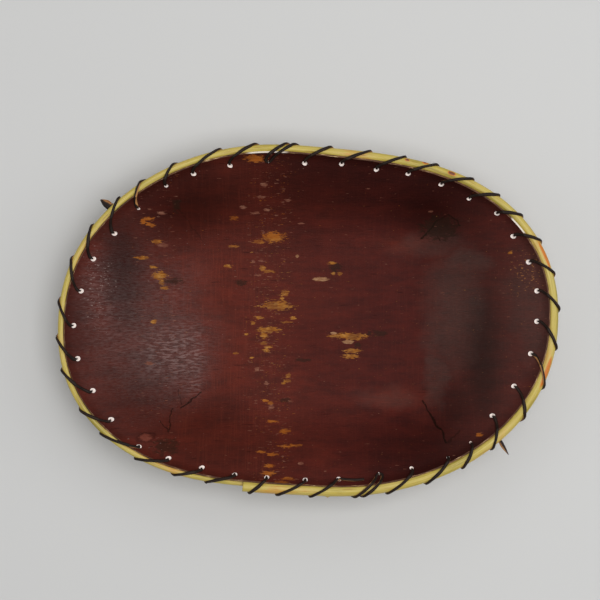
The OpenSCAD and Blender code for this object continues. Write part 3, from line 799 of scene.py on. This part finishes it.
def pleat_push(a, v):
    """Outward push: a short straight ramp on the side wall and a square law on the end wall, faded up
    to the pleat's tip."""
    quarter = 90 - np.abs(a % 180 - 90)
    c = pleat_a - quarter
    across = np.where(c < 0, np.maximum(0, 1 + c / side_turn), np.maximum(0, 1 - c / end_turn) ** 2)
    depth = pleat_depths[(np.floor(a / 90) % 4).astype(int)]
    return depth * across * ease((pleat_tip - v) / pleat_fade) * ease(v / pleat_foot)


def foot_lift(slope, d):
    """Height of the rounded foot over a sharp one: slope (w - |d|)^2 / 4w at a distance d from it."""
    return slope * np.maximum(0, foot_w - np.abs(d)) ** 2 / (4 * foot_w)


def swell(x, y):
    """Slow swells from bending by hand: three sine waves of 55 to 70 mm, a third of a mm each."""
    return swell_h * (np.sin(x / 9 + 0.6 * np.sin(y / 17)) + np.sin(y / 11 + 0.8 * np.sin(x / 23) + 0.4)
                      + np.sin((x + y) / 15 + 2.0))


def foot_slope(a):
    """Slope of the wall at its foot, (1 - bend) times rise over run, and that run."""
    run = np.linalg.norm(mouth(a) - floor_edge(a), axis=-1)
    return (1 - wall_bend) * (edge_z(a) - brim_h - bark_t) / run, run


def shaped_wall(a, v):
    """Inner face with its pleats, rounded foot, swells and knot."""
    wall = smooth_wall(a, v)
    push = pleat_push(a, v)
    wall[..., 0] += push * cosd(a)
    wall[..., 1] += push * sind(a)
    slope, run = foot_slope(a)
    bulge = np.exp(-((wall[..., 0] - knot[0]) / knot_l) ** 2 - ((wall[..., 1] - knot[1]) / knot_w) ** 2)
    wall[..., 2] += foot_lift(slope, v * run) + knot_h * bulge
    wall[..., 2] += swell(wall[..., 0], wall[..., 1]) * np.sin(np.pi * np.clip(v, 0, 1)) ** 0.5
    return wall


print("rise at the foot in mm:", foot_lift(foot_slope(compass)[0], 0).round(2))

# %% Floor and whole sheet
floor_rings = 20
inward = (np.arange(1, floor_rings) / floor_rings)[:, None]
floor_middle = np.array([floor_x, 0.0, bark_t])


def whole_face(radii):
    """Grid of the inner face from the edge down the wall and in over the floor, and the floor's middle."""
    a, v = wall_grid(radii)
    wall = shaped_wall(a, v)
    foot_a = a[-1]
    foot, along = floor_edge(foot_a), floor_edge(foot_a + 0.5) - floor_edge(foot_a - 0.5)
    out = unit(np.stack([along[:, 1], -along[:, 0]], -1))
    reach = ((foot - floor_middle[:2]) * out).sum(-1)
    plan = mix(wall[-1], floor_middle, inward[..., None])
    wave = (floor_rise + swell(plan[..., 0], plan[..., 1]) * floor_swell) * ease(3 * inward)
    plan[..., 2] = bark_t + foot_lift(foot_slope(foot_a)[0], inward * reach) + wave
    grid = np.concatenate([wall, plan])
    return grid, np.append(floor_middle[:2], grid[-1, :, 2].mean())


inner_grid, inner_pole = whole_face(hole_radii)
print("grid of the sheet:", inner_grid.shape)

# %% [markdown]
# The outer face is the inner one moved out by the sheet's thickness. The photograph shows the holes half
# closed and white, so each of them narrows outwards and is lined with torn white bark. Four kinds of
# faces close the sheet: inner face, outer face, cut edge and the linings of the holes, found as the
# borders between kept and open cells.

# %% Faces of the sheet
rows, cols = inner_grid.shape[:2]
outer_share = 0.3
backed_grid, backed_pole = whole_face(outer_share * hole_radii)
down = np.cross(np.roll(backed_grid, -1, 1) - np.roll(backed_grid, 1, 1), np.gradient(backed_grid, axis=0))
down = -unit(down) * np.sign(unit(down)[..., 2:].mean())
outer_grid = backed_grid + bark_t * down
outer_pole = backed_pole - [0, 0, bark_t]
cell_x = (column_s + np.append(column_s[1:], column_s[0] + girth)) / 2
open_col = (np.abs(short_way(cell_x[:, None] - seat_s, girth)) < hole_r).any(1)
open_row = np.zeros(rows - 1, bool)
first_block_row = len(rim_shares)
open_row[first_block_row + len(collar):first_block_row + len(block) - len(collar) - 1] = True
keep = ~(open_row[:, None] & open_col)
index = np.arange(rows * cols).reshape(rows, cols)
count = rows * cols + 1


def joined(first, second):
    """Faces between an edge of the inner face, first to second, and the same edge of the outer face."""
    return np.stack([first, second, second + count, first + count], -1).reshape(-1, 4)


next_col = np.roll(index, -1, 1)
next_keep = np.roll(keep, -1, 1)
linings = np.concatenate([
    joined(first[border], second[border]) for border, first, second in (
        (keep[:-1] & ~keep[1:], next_col[1:-1], index[1:-1]),
        (~keep[:-1] & keep[1:], index[1:-1], next_col[1:-1]),
        (keep & ~next_keep, next_col[:-1], next_col[1:]),
        (~keep & next_keep, next_col[1:], next_col[:-1]))])
inner_quads = grid_quads(rows, cols)[:, ::-1][keep.ravel()]
edge_quads = joined(index[0], next_col[0])
quads = np.concatenate([inner_quads, inner_quads[:, ::-1] + count, edge_quads, linings])
last = index[-1]
fan = np.stack([np.roll(last, -1), last, np.full(cols, count - 1)], 1)
tris = np.concatenate([fan, fan[:, ::-1] + count])
print("faces: inner", len(inner_quads), "edge", len(edge_quads), "linings", len(linings))

# %% Bark sheet
sheet_points = np.concatenate([inner_grid.reshape(-1, 3), inner_pole[None],
                               outer_grid.reshape(-1, 3), outer_pole[None]])
used, place_of = np.unique(np.concatenate([quads.ravel(), tris.ravel()]), return_inverse=True)
sheet_quads, sheet_tris = place_of[:quads.size].reshape(-1, 4), place_of[quads.size:].reshape(-1, 3)
kinds = np.repeat([0, 1, 2, 3, 0, 1],
                  [len(inner_quads), len(inner_quads), len(edge_quads), len(linings), cols, cols])
bark = make_piece("bark_tray", sheet_points[used], sheet_quads, sheet_tris,
                  [rind_finish, outer_finish, cut_finish, torn_finish], kinds)
bark.data.set_sharp_from_angle(angle=np.radians(50))
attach(bark, "root")
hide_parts("bark_sheet")
print("bark faces:", len(bark.data.polygons))

# %% [markdown]
# ## Hoop
#
# A peeled shoot, thick at its butt and thin at its tip, is bent round the outside of the bark's edge.
# The tip comes back under the notched butt. A ring of points is carried along the edge, and its radius
# tapers on the way. The attribute grain holds the length along the shoot and the place in its section,
# so that the fibres of the finish run lengthwise.

# %% Peeled shoot finish
def make_peeled_shoot():
    """Smooth yellow wood with lengthwise fibres, green and orange tints and brown bast."""
    f = Finish("peeled_shoot")
    grain = f.attribute("grain", "Vector")
    fibre = f.streaks(grain, (0.03, 1.6, 1.6), 4, 0.6)
    tint = f.streaks(grain, (0.022, 0.12, 0.12), 3, 0.6, (8, 3, 0))
    streak = f.streaks(grain, (0.05, 0.9, 0.9), 3, 0.6, (50, 9, 4))
    wood = f.ramp(tint, (0.32, srgb(148, 132, 46)), (0.46, srgb(184, 163, 66)), (0.58, srgb(190, 167, 82)),
                  (0.7, srgb(194, 140, 54)))
    wood = f.blend(f.step(fibre, 0.42, 0.7, 0, 0.55), wood, srgb(206, 189, 108))
    wood = f.blend(f.step(streak, 0.56, 0.72, 0, 0.7), wood, srgb(140, 92, 36))
    scar = f.attribute("scar")
    bast = f.ramp(scar, (0.7, srgb(196, 112, 26)), (0.8, srgb(112, 60, 30)))
    colour = f.blend(f.step(scar, 0.1, 0.65), wood, bast)
    relief = f.times(streak, -0.6, fibre)
    return f.finish(colour, 0.46, f.bump(relief, 0.25))


def make_shoot_end():
    """End grain: pale wood with fine darker specks."""
    f = Finish("shoot_end")
    grain = f.attribute("grain", "Vector")
    ring = f.noise(grain, 2.5, 3, 0.6)
    colour = f.ramp(ring, (0.3, srgb(150, 116, 62)), (0.7, srgb(206, 178, 112)))
    return f.finish(colour, 0.75, f.bump(ring, 0.2))


shoot_finish = make_peeled_shoot()
end_finish = make_shoot_end()
print("finishes:", shoot_finish.name, end_finish.name)

# %% Course of the shoot
butt_d, tip_d, splice_a = 7.0, 3.6, 248.5
lap_l, dip_l, hoop_drop, seat_gap, lap_gap = 15.0, 34.0, 0.6, 0.05, 0.2


def along_mouth(a, length):
    """Bearing, in degrees, that a length along the mouth takes up."""
    return np.degrees(length / np.linalg.norm(mouth(a), axis=-1))


lap_turn, dip_turn = along_mouth(splice_a, lap_l), along_mouth(splice_a, dip_l)
notch_turn, notch_ramp = along_mouth(splice_a, lap_l + 1), along_mouth(splice_a, butt_d / 2)


def shoot_r(turn):
    """Radius: straight taper from butt to tip."""
    return mix(butt_d, tip_d, turn / 360) / 2


def seat(a, r):
    """Section place of the shoot's middle: against the outer face of the brim, a little below its edge."""
    w, off = edge_lean(a), bark_t + seat_gap + r
    return np.stack([off * sind(w) - hoop_drop * cosd(w), -off * cosd(w) - hoop_drop * sind(w)], -1)


def shoot_mid(turn):
    """Middle of the shoot: its seat, eased for the last stretch to a place under the butt."""
    a, r = splice_a + turn, shoot_r(turn)
    under = seat(a, butt_d / 2) - np.stack([butt_d / 2 - r - lap_gap, r + lap_gap / 2], -1)
    return mix(seat(a, r), under, ease((turn - 360 + dip_turn) / dip_turn)[..., None])


print("lap in degrees:", lap_turn.round(2))

# %% Hoop
scars = [(277.5, -25, 1.6, 1.6, 1.3, 0.9), (57.0, 60, 1.5, 1.2, 0.4, 0.9), (52.0, 40, 2.0, 1.2, 0.3, 0.8),
         (44.5, 70, 2.6, 1.5, 0.4, 0.9), (15.0, 56, 8.0, 1.5, 0.1, 0.7), (348.0, 62, 9.0, 1.7, 0.1, 0.7)]
hoop_sides, hoop_mean_r, shoot_mean_r = 28, 135, 3.2
turns = np.concatenate([np.linspace(0, notch_turn + notch_ramp, 26)[:-1],
                        np.linspace(notch_turn + notch_ramp, 360 + lap_turn, 760)])
side_b = 360 * (np.arange(hoop_sides) + 0.5) / hoop_sides
turn_grid, b_grid = turns[:, None], side_b[None, :]
length_along = turn_grid * np.pi / 180 * hoop_mean_r
knob = np.zeros((len(turns), hoop_sides))
scar_mark = np.zeros_like(knob)
for bearing, b, length, width, height, mark in scars:
    away = short_way(turn_grid + splice_a - bearing, 360) * np.pi / 180 * hoop_mean_r
    round_b = short_way(b_grid - b, 360)
    spot = np.exp(-(away / length) ** 2 - (round_b * np.pi / 180 * shoot_mean_r / width) ** 2)
    knob += height * spot
    scar_mark = np.maximum(scar_mark, mark * ease(2.4 * spot - 0.4))
uneven = (1 + 0.025 * np.sin(length_along / 13 + 1.0) * np.cos(np.radians(b_grid + 40))
          + 0.02 * np.sin(length_along / 29 + np.radians(2 * b_grid)))
hoop_radius = shoot_r(turn_grid) * uneven + knob
notch_low = mix(lap_gap / 2, -butt_d, np.clip((turn_grid - notch_turn) / notch_ramp, 0, 1))
hoop_mid = shoot_mid(turns)[:, None, :]
place = hoop_mid + np.stack([hoop_radius * cosd(b_grid), np.maximum(notch_low, hoop_radius * sind(b_grid))], -1)
hoop_rings = in_section(np.broadcast_to(splice_a + turn_grid, knob.shape), place)
print("hoop rings:", hoop_rings.shape)

# %% Mesh of a tube with closed ends
def tube(name, rings, grain, materials, extra=()):
    """A closed tube over rows of rings: cells between rings, a fan on each end in the last finish."""
    rows, sides = rings.shape[:2]
    ends = np.stack([rings[0].mean(0), rings[-1].mean(0)])
    quads = grid_quads(rows, sides)[:, ::-1]
    j = np.arange(sides)
    k = (j + 1) % sides
    top = (rows - 1) * sides
    first = np.stack([j, k, np.full(sides, rows * sides)], 1)
    final = np.stack([top + k, top + j, np.full(sides, rows * sides + 1)], 1)
    tris = np.concatenate([first, final])
    which = np.concatenate([np.zeros(len(quads)), np.full(len(tris), len(materials) - 1)])
    end_grain = [grain[0].mean(0), grain[-1].mean(0)]
    values = [("grain", np.concatenate([grain.reshape(-1, 3), end_grain]))]
    values += [(key, np.concatenate([value.ravel(), [0, 0]])) for key, value in extra]
    return make_piece(name, np.concatenate([rings.reshape(-1, 3), ends]), quads, tris, materials, which, values)


hoop_grain = np.stack([np.broadcast_to(length_along, knob.shape), hoop_radius * cosd(b_grid),
                       hoop_radius * sind(b_grid)], -1)
hoop = tube("rim_hoop", hoop_rings, hoop_grain, [shoot_finish, end_finish], [("scar", scar_mark)])
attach(hoop, "root")
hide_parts("rim_shoot")
print("hoop faces:", len(hoop.data.polygons))

# %% [markdown]
# ## Root lashing
#
# A split root comes up the inside from its hole, slants over the hoop, goes down behind it and in at
# the next hole. Four lengths of root make the round. Each course is a row of section points for every
# stitch, as in the CAD source, joined here by a smooth curve. The root's section is a D: its flat split
# face lies on the work and its round bark face looks out.

# %% Split root finish
def make_split_root():
    """Dark brown root bark, with pale pink-buff fibres where the split face turns into view."""
    f = Finish("split_root")
    grain = f.attribute("grain", "Vector")
    fibre = f.streaks(grain, (0.12, 2.6, 2.6), 4, 0.65)
    patch = f.streaks(grain, (0.035, 0.3, 0.3), 3, 0.6, (17, 5, 0))
    bark_face = f.ramp(fibre, (0.3, srgb(17, 11, 8)), (0.55, srgb(34, 22, 16)), (0.78, srgb(70, 48, 36)))
    split_face = f.ramp(fibre, (0.3, srgb(118, 70, 38)), (0.6, srgb(190, 138, 84)))
    height = f.axis(grain, 2)
    bare = f.attribute("bare")
    side = f.step(f.times(f.math("SUBTRACT", patch, 0.5), 1.6, height), -0.3, -0.6)
    edge = f.times(f.axis(grain, 1), 0.6)
    peeled = f.step(f.math("ADD", edge, f.times(patch, 0.5, bare)), 0.95, 1.15)
    side = f.most(side, peeled)
    colour = f.blend(side, bark_face, split_face)
    return f.finish(colour, 0.55, f.bump(fibre, 0.3), 0.2)


root_finish = make_split_root()
print("finish:", root_finish.name)

# %% What the root lies on
root_w, root_t, root_gap, pair_gap = 1.9, 1.3, 0.12, 0.5
root_r = root_t / 2 + root_gap
top_hole, lower_right_hole, low_hole, upper_left_hole = 8, 22, 26, 40
chord_out = 1.02
butt_wrap = along_mouth(splice_a, 4 * root_w)


def turn_from_butt(a):
    """Bearing measured on from the butt's end, 0 to 360."""
    return (a - splice_a) % 360


def wound(turn):
    """Middle of the shoot at a turn, and the root's distance from it."""
    return shoot_mid(turn), shoot_r(turn) + root_r


def wound_over(a):
    """The shoot as the root goes over it: just past the butt's end it is still the butt."""
    turn = turn_from_butt(a)
    return wound(np.where(turn > 360 - butt_wrap, 0, turn))


def wound_under(a):
    """The shoot as the root comes back under it: at the lap that is the tip."""
    turn = turn_from_butt(a)
    return wound(np.where(turn < lap_turn, 360 + turn, turn))


def shared(i):
    """1 for a hole that two roots share, else 0."""
    h = i % hole_count
    return ((h == top_hole) | (h == low_hole) | (h == low_hole + 1)).astype(float)


print("shared holes:", int(shared(np.arange(hole_count)).sum()))

# %% Through a hole and over the hoop
pair_slip, squeeze, spread, inner_spread = (root_w + pair_gap) / 2, 0.66, 2.1, 1.45
bend_in, bend_run = 0.85, 1.8


def pass_depth(i):
    """Depth at which the root goes through hole i: a little to the edge's side, or in the middle if shared."""
    depth = hole_depths[i % hole_count]
    return np.maximum(hole_r + 2 * root_t, depth - (1 - shared(i)) * 0.5 * hole_r)


def through_hole(a, i, k):
    """Five section points through hole i, from the outer face (k = 0) to the inner (k = 4)."""
    less = (0.6, 1 - bend_in, 0, 1 - bend_in, bend_run)[k]
    off = (bark_t + 1.5 * root_r, bark_t + bend_in * root_r, bark_t / 2, -bend_in * root_r, -root_r)[k]
    return on_wall(a, pass_depth(i) - less * root_r, off)


def round_at(w, b):
    """Section point on the root's way round the shoot, at bearing b round its middle."""
    return w[0] + (chord_out * w[1])[..., None] * np.stack([cosd(b), sind(b)], -1)


def hoop_on(a):
    """Bearing where the root leaves the bark's edge and comes on to the shoot."""
    m, r = wound_over(a)
    return np.degrees(np.arctan2(m[..., 1], m[..., 0])
                      + np.arccos(np.clip((root_r - r) / np.linalg.norm(m, axis=-1), -1, 1)))


def hoop_off(a, i):
    """Bearing where it leaves the shoot for hole i: the tangent from the hole's outer point."""
    m, r = wound_under(a)
    d = m - through_hole(a, i, 0)
    far = np.linalg.norm(d, axis=-1)
    return np.degrees(np.arctan2(d[..., 1], d[..., 0]) - np.arcsin(np.minimum(1, r / far))) - 90


def over_hoop(a, i, t):
    """Place at share t of the way round the shoot."""
    return round_at(wound_over(a) if t < 0.7 else wound_under(a), mix(hoop_on(a), hoop_off(a, i), t))


def on_edge(b):
    """Section point round the bark's edge."""
    return root_r * np.stack([cosd(b), sind(b)], -1)


print("root stands", round(root_r, 2), "mm off its bed")

# %% [markdown]
# Seen from above a stitch leaves its hole nearly straight out and bends round over the hoop, so the share
# of the way along the rim grows as a power of the distance out from the hole. How far along it reaches
# differs from stitch to stitch, because the roots were pulled by hand. Behind the hoop the root goes on to
# the next hole.

# %% All the stitches of a root at once
bare_share = np.zeros(hole_count)
bare_share[[4, 20, 26]] = (1.0, 1.0, 0.55)
reach_by_hand = np.array([
    0.6, 0.75, 0.75, 0.75, 0.45, 0.5, 0.8, 0.66, 0.56, 0.65, 0.75, 0.8, 0.7, 0.8, 0.7, 0.63, 0.57, 0.58, 0.6,
    0.68, 0.65, 0.5, 0.6, 0.7, 0.75, 0.85, 0.52, 0.7, 0.7, 0.5, 0.8, 0.7, 0.92, 0.94, 0.7, 0.8, 0.65])


def stitches(i, side):
    """Fifteen points for each stitch from hole i to hole i + 1: bearing, section place, width, bareness."""
    a0, a1 = hole_bearing(i), hole_bearing(i + 1)
    slip0, slip1 = side * shared(i) * pair_slip, side * shared(i + 1) * pair_slip
    reach, bow = reach_by_hand[i % hole_count], 1.25 - 0.2 * sind(2 * a0)
    last_t = mix(reach, 0.96, 0.5)
    m, r = wound_over(mix(a0, a1, 0.4))
    near, far = through_hole(a0, i, 4)[..., 0], m[..., 0] + chord_out * r
    points = []

    def at(t, k0, k1):
        a = mix(a0, a1, t)
        return a - along_mouth(a, slip0 * k0 + slip1 * k1)

    def put(a, p, width, bare=0.0):
        points.append((a, p, np.full(a.shape, width), bare * bare_share[i % hole_count]))

    def put_straight(where, k0, width, bare):
        p = where(at(0.35, k0, 0))
        a = at(reach * np.clip((p[..., 0] - near) / (far - near), 0, 1) ** bow, k0, 0)
        put(a, where(a), width, bare)

    for k in (2, 3, 4):
        a = at(0, squeeze if k < 4 else inner_spread, 0)
        put(a, through_hole(a, i, k), squeeze if k < 4 else 1.0, 0.3)
    put_straight(lambda a: on_wall(a, pass_depth(i) / 2, -root_r), (inner_spread + spread) / 2, 1.0, 1.0)
    for k in (1, 0.5):
        put_straight(lambda a: on_edge(mix(hoop_on(a), 90 + edge_lean(a), k)), spread, 1.0, 0.8)
    for t in (0, 0.2, 0.4):
        put_straight(lambda a: over_hoop(a, i + 1, t), spread, 1.0, 0.5 - t)
    for t in (0.6, 0.8, 1):
        a = at(mix(reach, last_t, (t - 0.5) / 0.5), spread, 0)
        put(a, over_hoop(a, i + 1, t), 1.0)
    a_off, a_mid = at(last_t, spread, 0), at(mix(last_t, 0.96, 0.5), spread / 2, 0.5)
    put(a_mid, (over_hoop(a_off, i + 1, 1) + through_hole(a_mid, i + 1, 0)) / 2, 1.0)
    for k in (0, 1):
        width = 1.0 if k < 1 else squeeze
        a = at(mix(0.96, 1, 0.75 * k), 0, width)
        put(a, through_hole(a, i + 1, k), width)
    return tuple(np.stack(column, 1) for column in zip(*points))


print("points of one stitch:", stitches(np.array([0]), np.zeros(1))[0].shape)

# %% First and last ends
first_end, back_end = 9.0, 15.0


def first_part(i, side):
    """The first end comes up the outside of the bark to its hole."""
    h = np.array(i)
    slip = side * shared(h) * pair_slip * squeeze
    a0 = hole_bearing(h) - along_mouth(hole_bearing(h), slip)
    t = np.array([1, 0.66, 0.33, 0])
    a = a0 - along_mouth(a0, 0.25 * first_end * t)
    off = np.array([1, 1, 1, bend_in]) * root_r + bark_t
    depth = pass_depth(h) + np.where(t > 0, first_end * t, (1 - bend_in) * root_r)
    return a, on_wall(a, depth, off), np.array([0.7, 0.9, 1, squeeze]), np.zeros(4)


def tail_part(a, tail, back, lean, broad):
    """A free tail: under the hoop, back along it by a length, and out as a flat blade that droops a little."""
    m, r = wound_over(a)
    t = np.array([0, 0.35, 0.7, 1])
    blade = m + np.stack([r * 0.8 + tail * t, -r * 0.5 - 0.12 * tail * t * t], 1)
    under = round_at((m, r), np.array([-75.0]))
    steps = np.concatenate([[0.5 * back], back + lean * t])
    width = np.append(1.0, broad * np.array([1.2, 1.3, 0.9, 0.25]))
    bare = np.array([0.0, 0.5, 0.6, 0.6, 0.3])
    return a + along_mouth(a, steps), np.concatenate([under, blade]), width, bare


def back_part(i, a0):
    """The last end lies back along the inside of the bark."""
    t = np.array([0.15, 0.3, 0.65, 1])
    a = a0 + along_mouth(a0, back_end * t)
    depth = pass_depth(np.array(i)) - bend_run * root_r * np.minimum(1, 2 * t)
    return a, on_wall(a, depth, -root_r), np.array([1, 1, 0.95, 0.7]), np.zeros(4)


print("ends: first", first_end, "mm, back", back_end, "mm")

# %% Whole course of a root
def root_way(start, stop, ending, side_first, side_last, tail=()):
    """Bearing, section place, width, bareness and turn of the flat for every point of one root."""
    i = np.arange(start, stop)
    run = stitches(i, np.where(i < start + 2, side_first, side_last).astype(float))
    final = [x[0] for x in stitches(np.array([stop]), np.array([float(side_last)]))]
    parts = [first_part(start, side_first), [x.reshape(-1, *x.shape[2:]) for x in run]]
    keep_points = {"tucked": 12, "tail": 10, "inside": 2}[ending]
    parts.append([x[:keep_points] for x in final])
    if ending == "tail":
        parts.append(tail_part(final[0][9], *tail))
    if ending == "inside":
        parts.append(back_part(stop, final[0][0]))
    a, p, width, bare = (np.concatenate([part[n] for part in parts]) for n in range(4))
    turn = np.zeros(len(a))
    if ending == "inside":
        turn[-4:] = (0.45, 0.9, 1, 1)
    return a, p, width, bare, turn


def smooth_curve(values, steps):
    """Cubics through rows of values whose first three are a place: the slope at a row is the span of its
    neighbours over the length between them, so uneven steps make no loops."""
    h = np.linalg.norm(np.diff(values[:, :3], axis=0), axis=1)[:, None]
    slope = np.concatenate([(values[1:2] - values[:1]) / h[:1], (values[2:] - values[:-2]) / (h[1:] + h[:-1]),
                            (values[-1:] - values[-2:-1]) / h[-1:]])
    t = (np.arange(steps) / steps)[None, :, None]
    p0, p1, s0, s1 = values[:-1, None], values[1:, None], (slope[:-1] * h)[:, None], (slope[1:] * h)[:, None]
    curve = ((1 + 2 * t) * p0 + t * s0) * (1 - t) ** 2 + ((3 - 2 * t) * p1 + (t - 1) * s1) * t ** 2
    return np.concatenate([curve.reshape(-1, values.shape[1]), values[-1:]])


print("smooth curve of 3 points:", smooth_curve(np.eye(3), 2).shape)

# %% Roots
root_shape = np.array([[-0.5, -0.42], [-0.25, -0.5], [0.0, -0.47], [0.25, -0.5], [0.5, -0.42], [0.53, -0.18],
                       [0.44, 0.16], [0.26, 0.42], [0.0, 0.5], [-0.26, 0.42], [-0.44, 0.16], [-0.53, -0.18]])


def make_root(name, node, way, seed):
    """Sweeps the D section along the smooth course of a root, its flat face to the work."""
    a, p, width, bare, turn = way
    knots = np.concatenate([in_section(a, p), np.stack([a, width, bare, turn], 1)], 1)
    course = smooth_curve(knots, 6)
    path, a, width = course[:, :3], course[:, 3], course[:, 4]
    bare, turn = np.clip(course[:, 5:].T, 0, 1)
    t = unit(np.gradient(path, axis=0))
    n, lean = edge_out(a), edge_lean(a)
    along = np.stack([n[:, 1], -n[:, 0], 0 * a], 1)
    up_wall = np.stack([n[:, 0] * cosd(lean), n[:, 1] * cosd(lean), sind(lean)], 1)
    lie = mix(along, up_wall, turn[:, None])
    side = unit(lie - (lie * t).sum(1, keepdims=True) * t)
    up = np.cross(side, t)
    far = np.concatenate([[0], np.cumsum(np.linalg.norm(np.diff(path, axis=0), axis=1))])
    wide = root_w * width * (1 + 0.10 * np.sin(far / 5.1 + seed) + 0.06 * np.sin(far / 2.3 + 2 * seed))
    deep = root_t * (1 + 0.08 * np.sin(far / 3.7 + 3 * seed))
    rings = (path[:, None] + side[:, None] * (root_shape[:, :1] * wide[:, None, None])
             + up[:, None] * (root_shape[:, 1:] * deep[:, None, None]))
    grain = np.stack([np.broadcast_to(far[:, None] + 300 * seed, rings.shape[:2]),
                      np.broadcast_to(root_shape[:, 0] * root_w, rings.shape[:2]),
                      np.broadcast_to(root_shape[:, 1] * root_t, rings.shape[:2])], -1)
    piece = tube(name, rings, grain, [root_finish], [("bare", np.repeat(bare, len(root_shape)))])
    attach(piece, "root")
    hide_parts(node)
    print(name, "length in mm:", far[-1].round(), "faces:", len(piece.data.polygons))
    return piece


make_root("root_right", "lashing_right",
          root_way(top_hole, lower_right_hole, "tail", 1, 0, (10.5, 6.5, -1, 0.95)), 1)
make_root("root_lower_right", "lashing_lower_right",
          root_way(lower_right_hole + 1, low_hole + 1, "inside", 0, -1), 2)
make_root("root_left", "lashing_left",
          root_way(low_hole, upper_left_hole, "tail", 1, 0, (7.5, 7, 1.5, 1.9)), 3)
make_root("root_upper_left", "lashing_upper_left",
          root_way(upper_left_hole + 1, hole_count + top_hole, "tucked", 0, -1), 4)

# %% [markdown]
# ## Floor and light
#
# The tray stands on a plain pale grey floor. The main light is a wide soft box overhead, a little to the
# right, so the shadow falls softly to the left. Weaker boxes stand on the right, behind and on the left,
# and a weak even world fills the rest.

# %% Floor
def make_floor():
    """Plain pale grey, dull."""
    f = Finish("studio_floor")
    return f.finish((*srgb(203, 203, 202), 1.0), 0.9, gleam=0.2)


half = 4000.0
corners = np.array([[-1, -1, 0], [1, -1, 0], [1, 1, 0], [-1, 1, 0]])
floor_points = half * corners + middle
studio_floor = make_piece("studio_floor", floor_points, np.array([[0, 1, 2, 3]]), np.zeros((0, 3), int),
                          [make_floor()])
print("floor", 2 * half, "mm square")

# %% Lights
def soft_box(name, where, size, watts):
    """An area light at a place in metres, turned to face the origin."""
    lamp = bpy.data.lights.new(name, "AREA")
    lamp.shape, lamp.size, lamp.size_y, lamp.energy = "RECTANGLE", size[0], size[1], watts
    box = bpy.data.objects.new(name, lamp)
    box.location = where
    box.rotation_euler = (Vector() - Vector(where)).to_track_quat("-Z", "Y").to_euler()
    bpy.context.collection.objects.link(box)
    return box


soft_box("overhead", (0.35, 0.0, 2.1), (1.4, 1.1), 26)
soft_box("key_right", (1.15, 0.1, 1.0), (0.8, 1.2), 5)
soft_box("fill_back", (0.0, 1.15, 1.2), (1.2, 0.8), 3)
soft_box("fill_left", (-1.15, 0.0, 1.0), (0.8, 1.2), 2)
world = bpy.data.worlds.new("world")
world.use_nodes = True
sky = world.node_tree.nodes["Background"]
sky.inputs["Color"].default_value = (1, 1, 1, 1)
sky.inputs["Strength"].default_value = 0.27
bpy.context.scene.world = world
bpy.context.scene.view_settings.view_transform = "Standard"
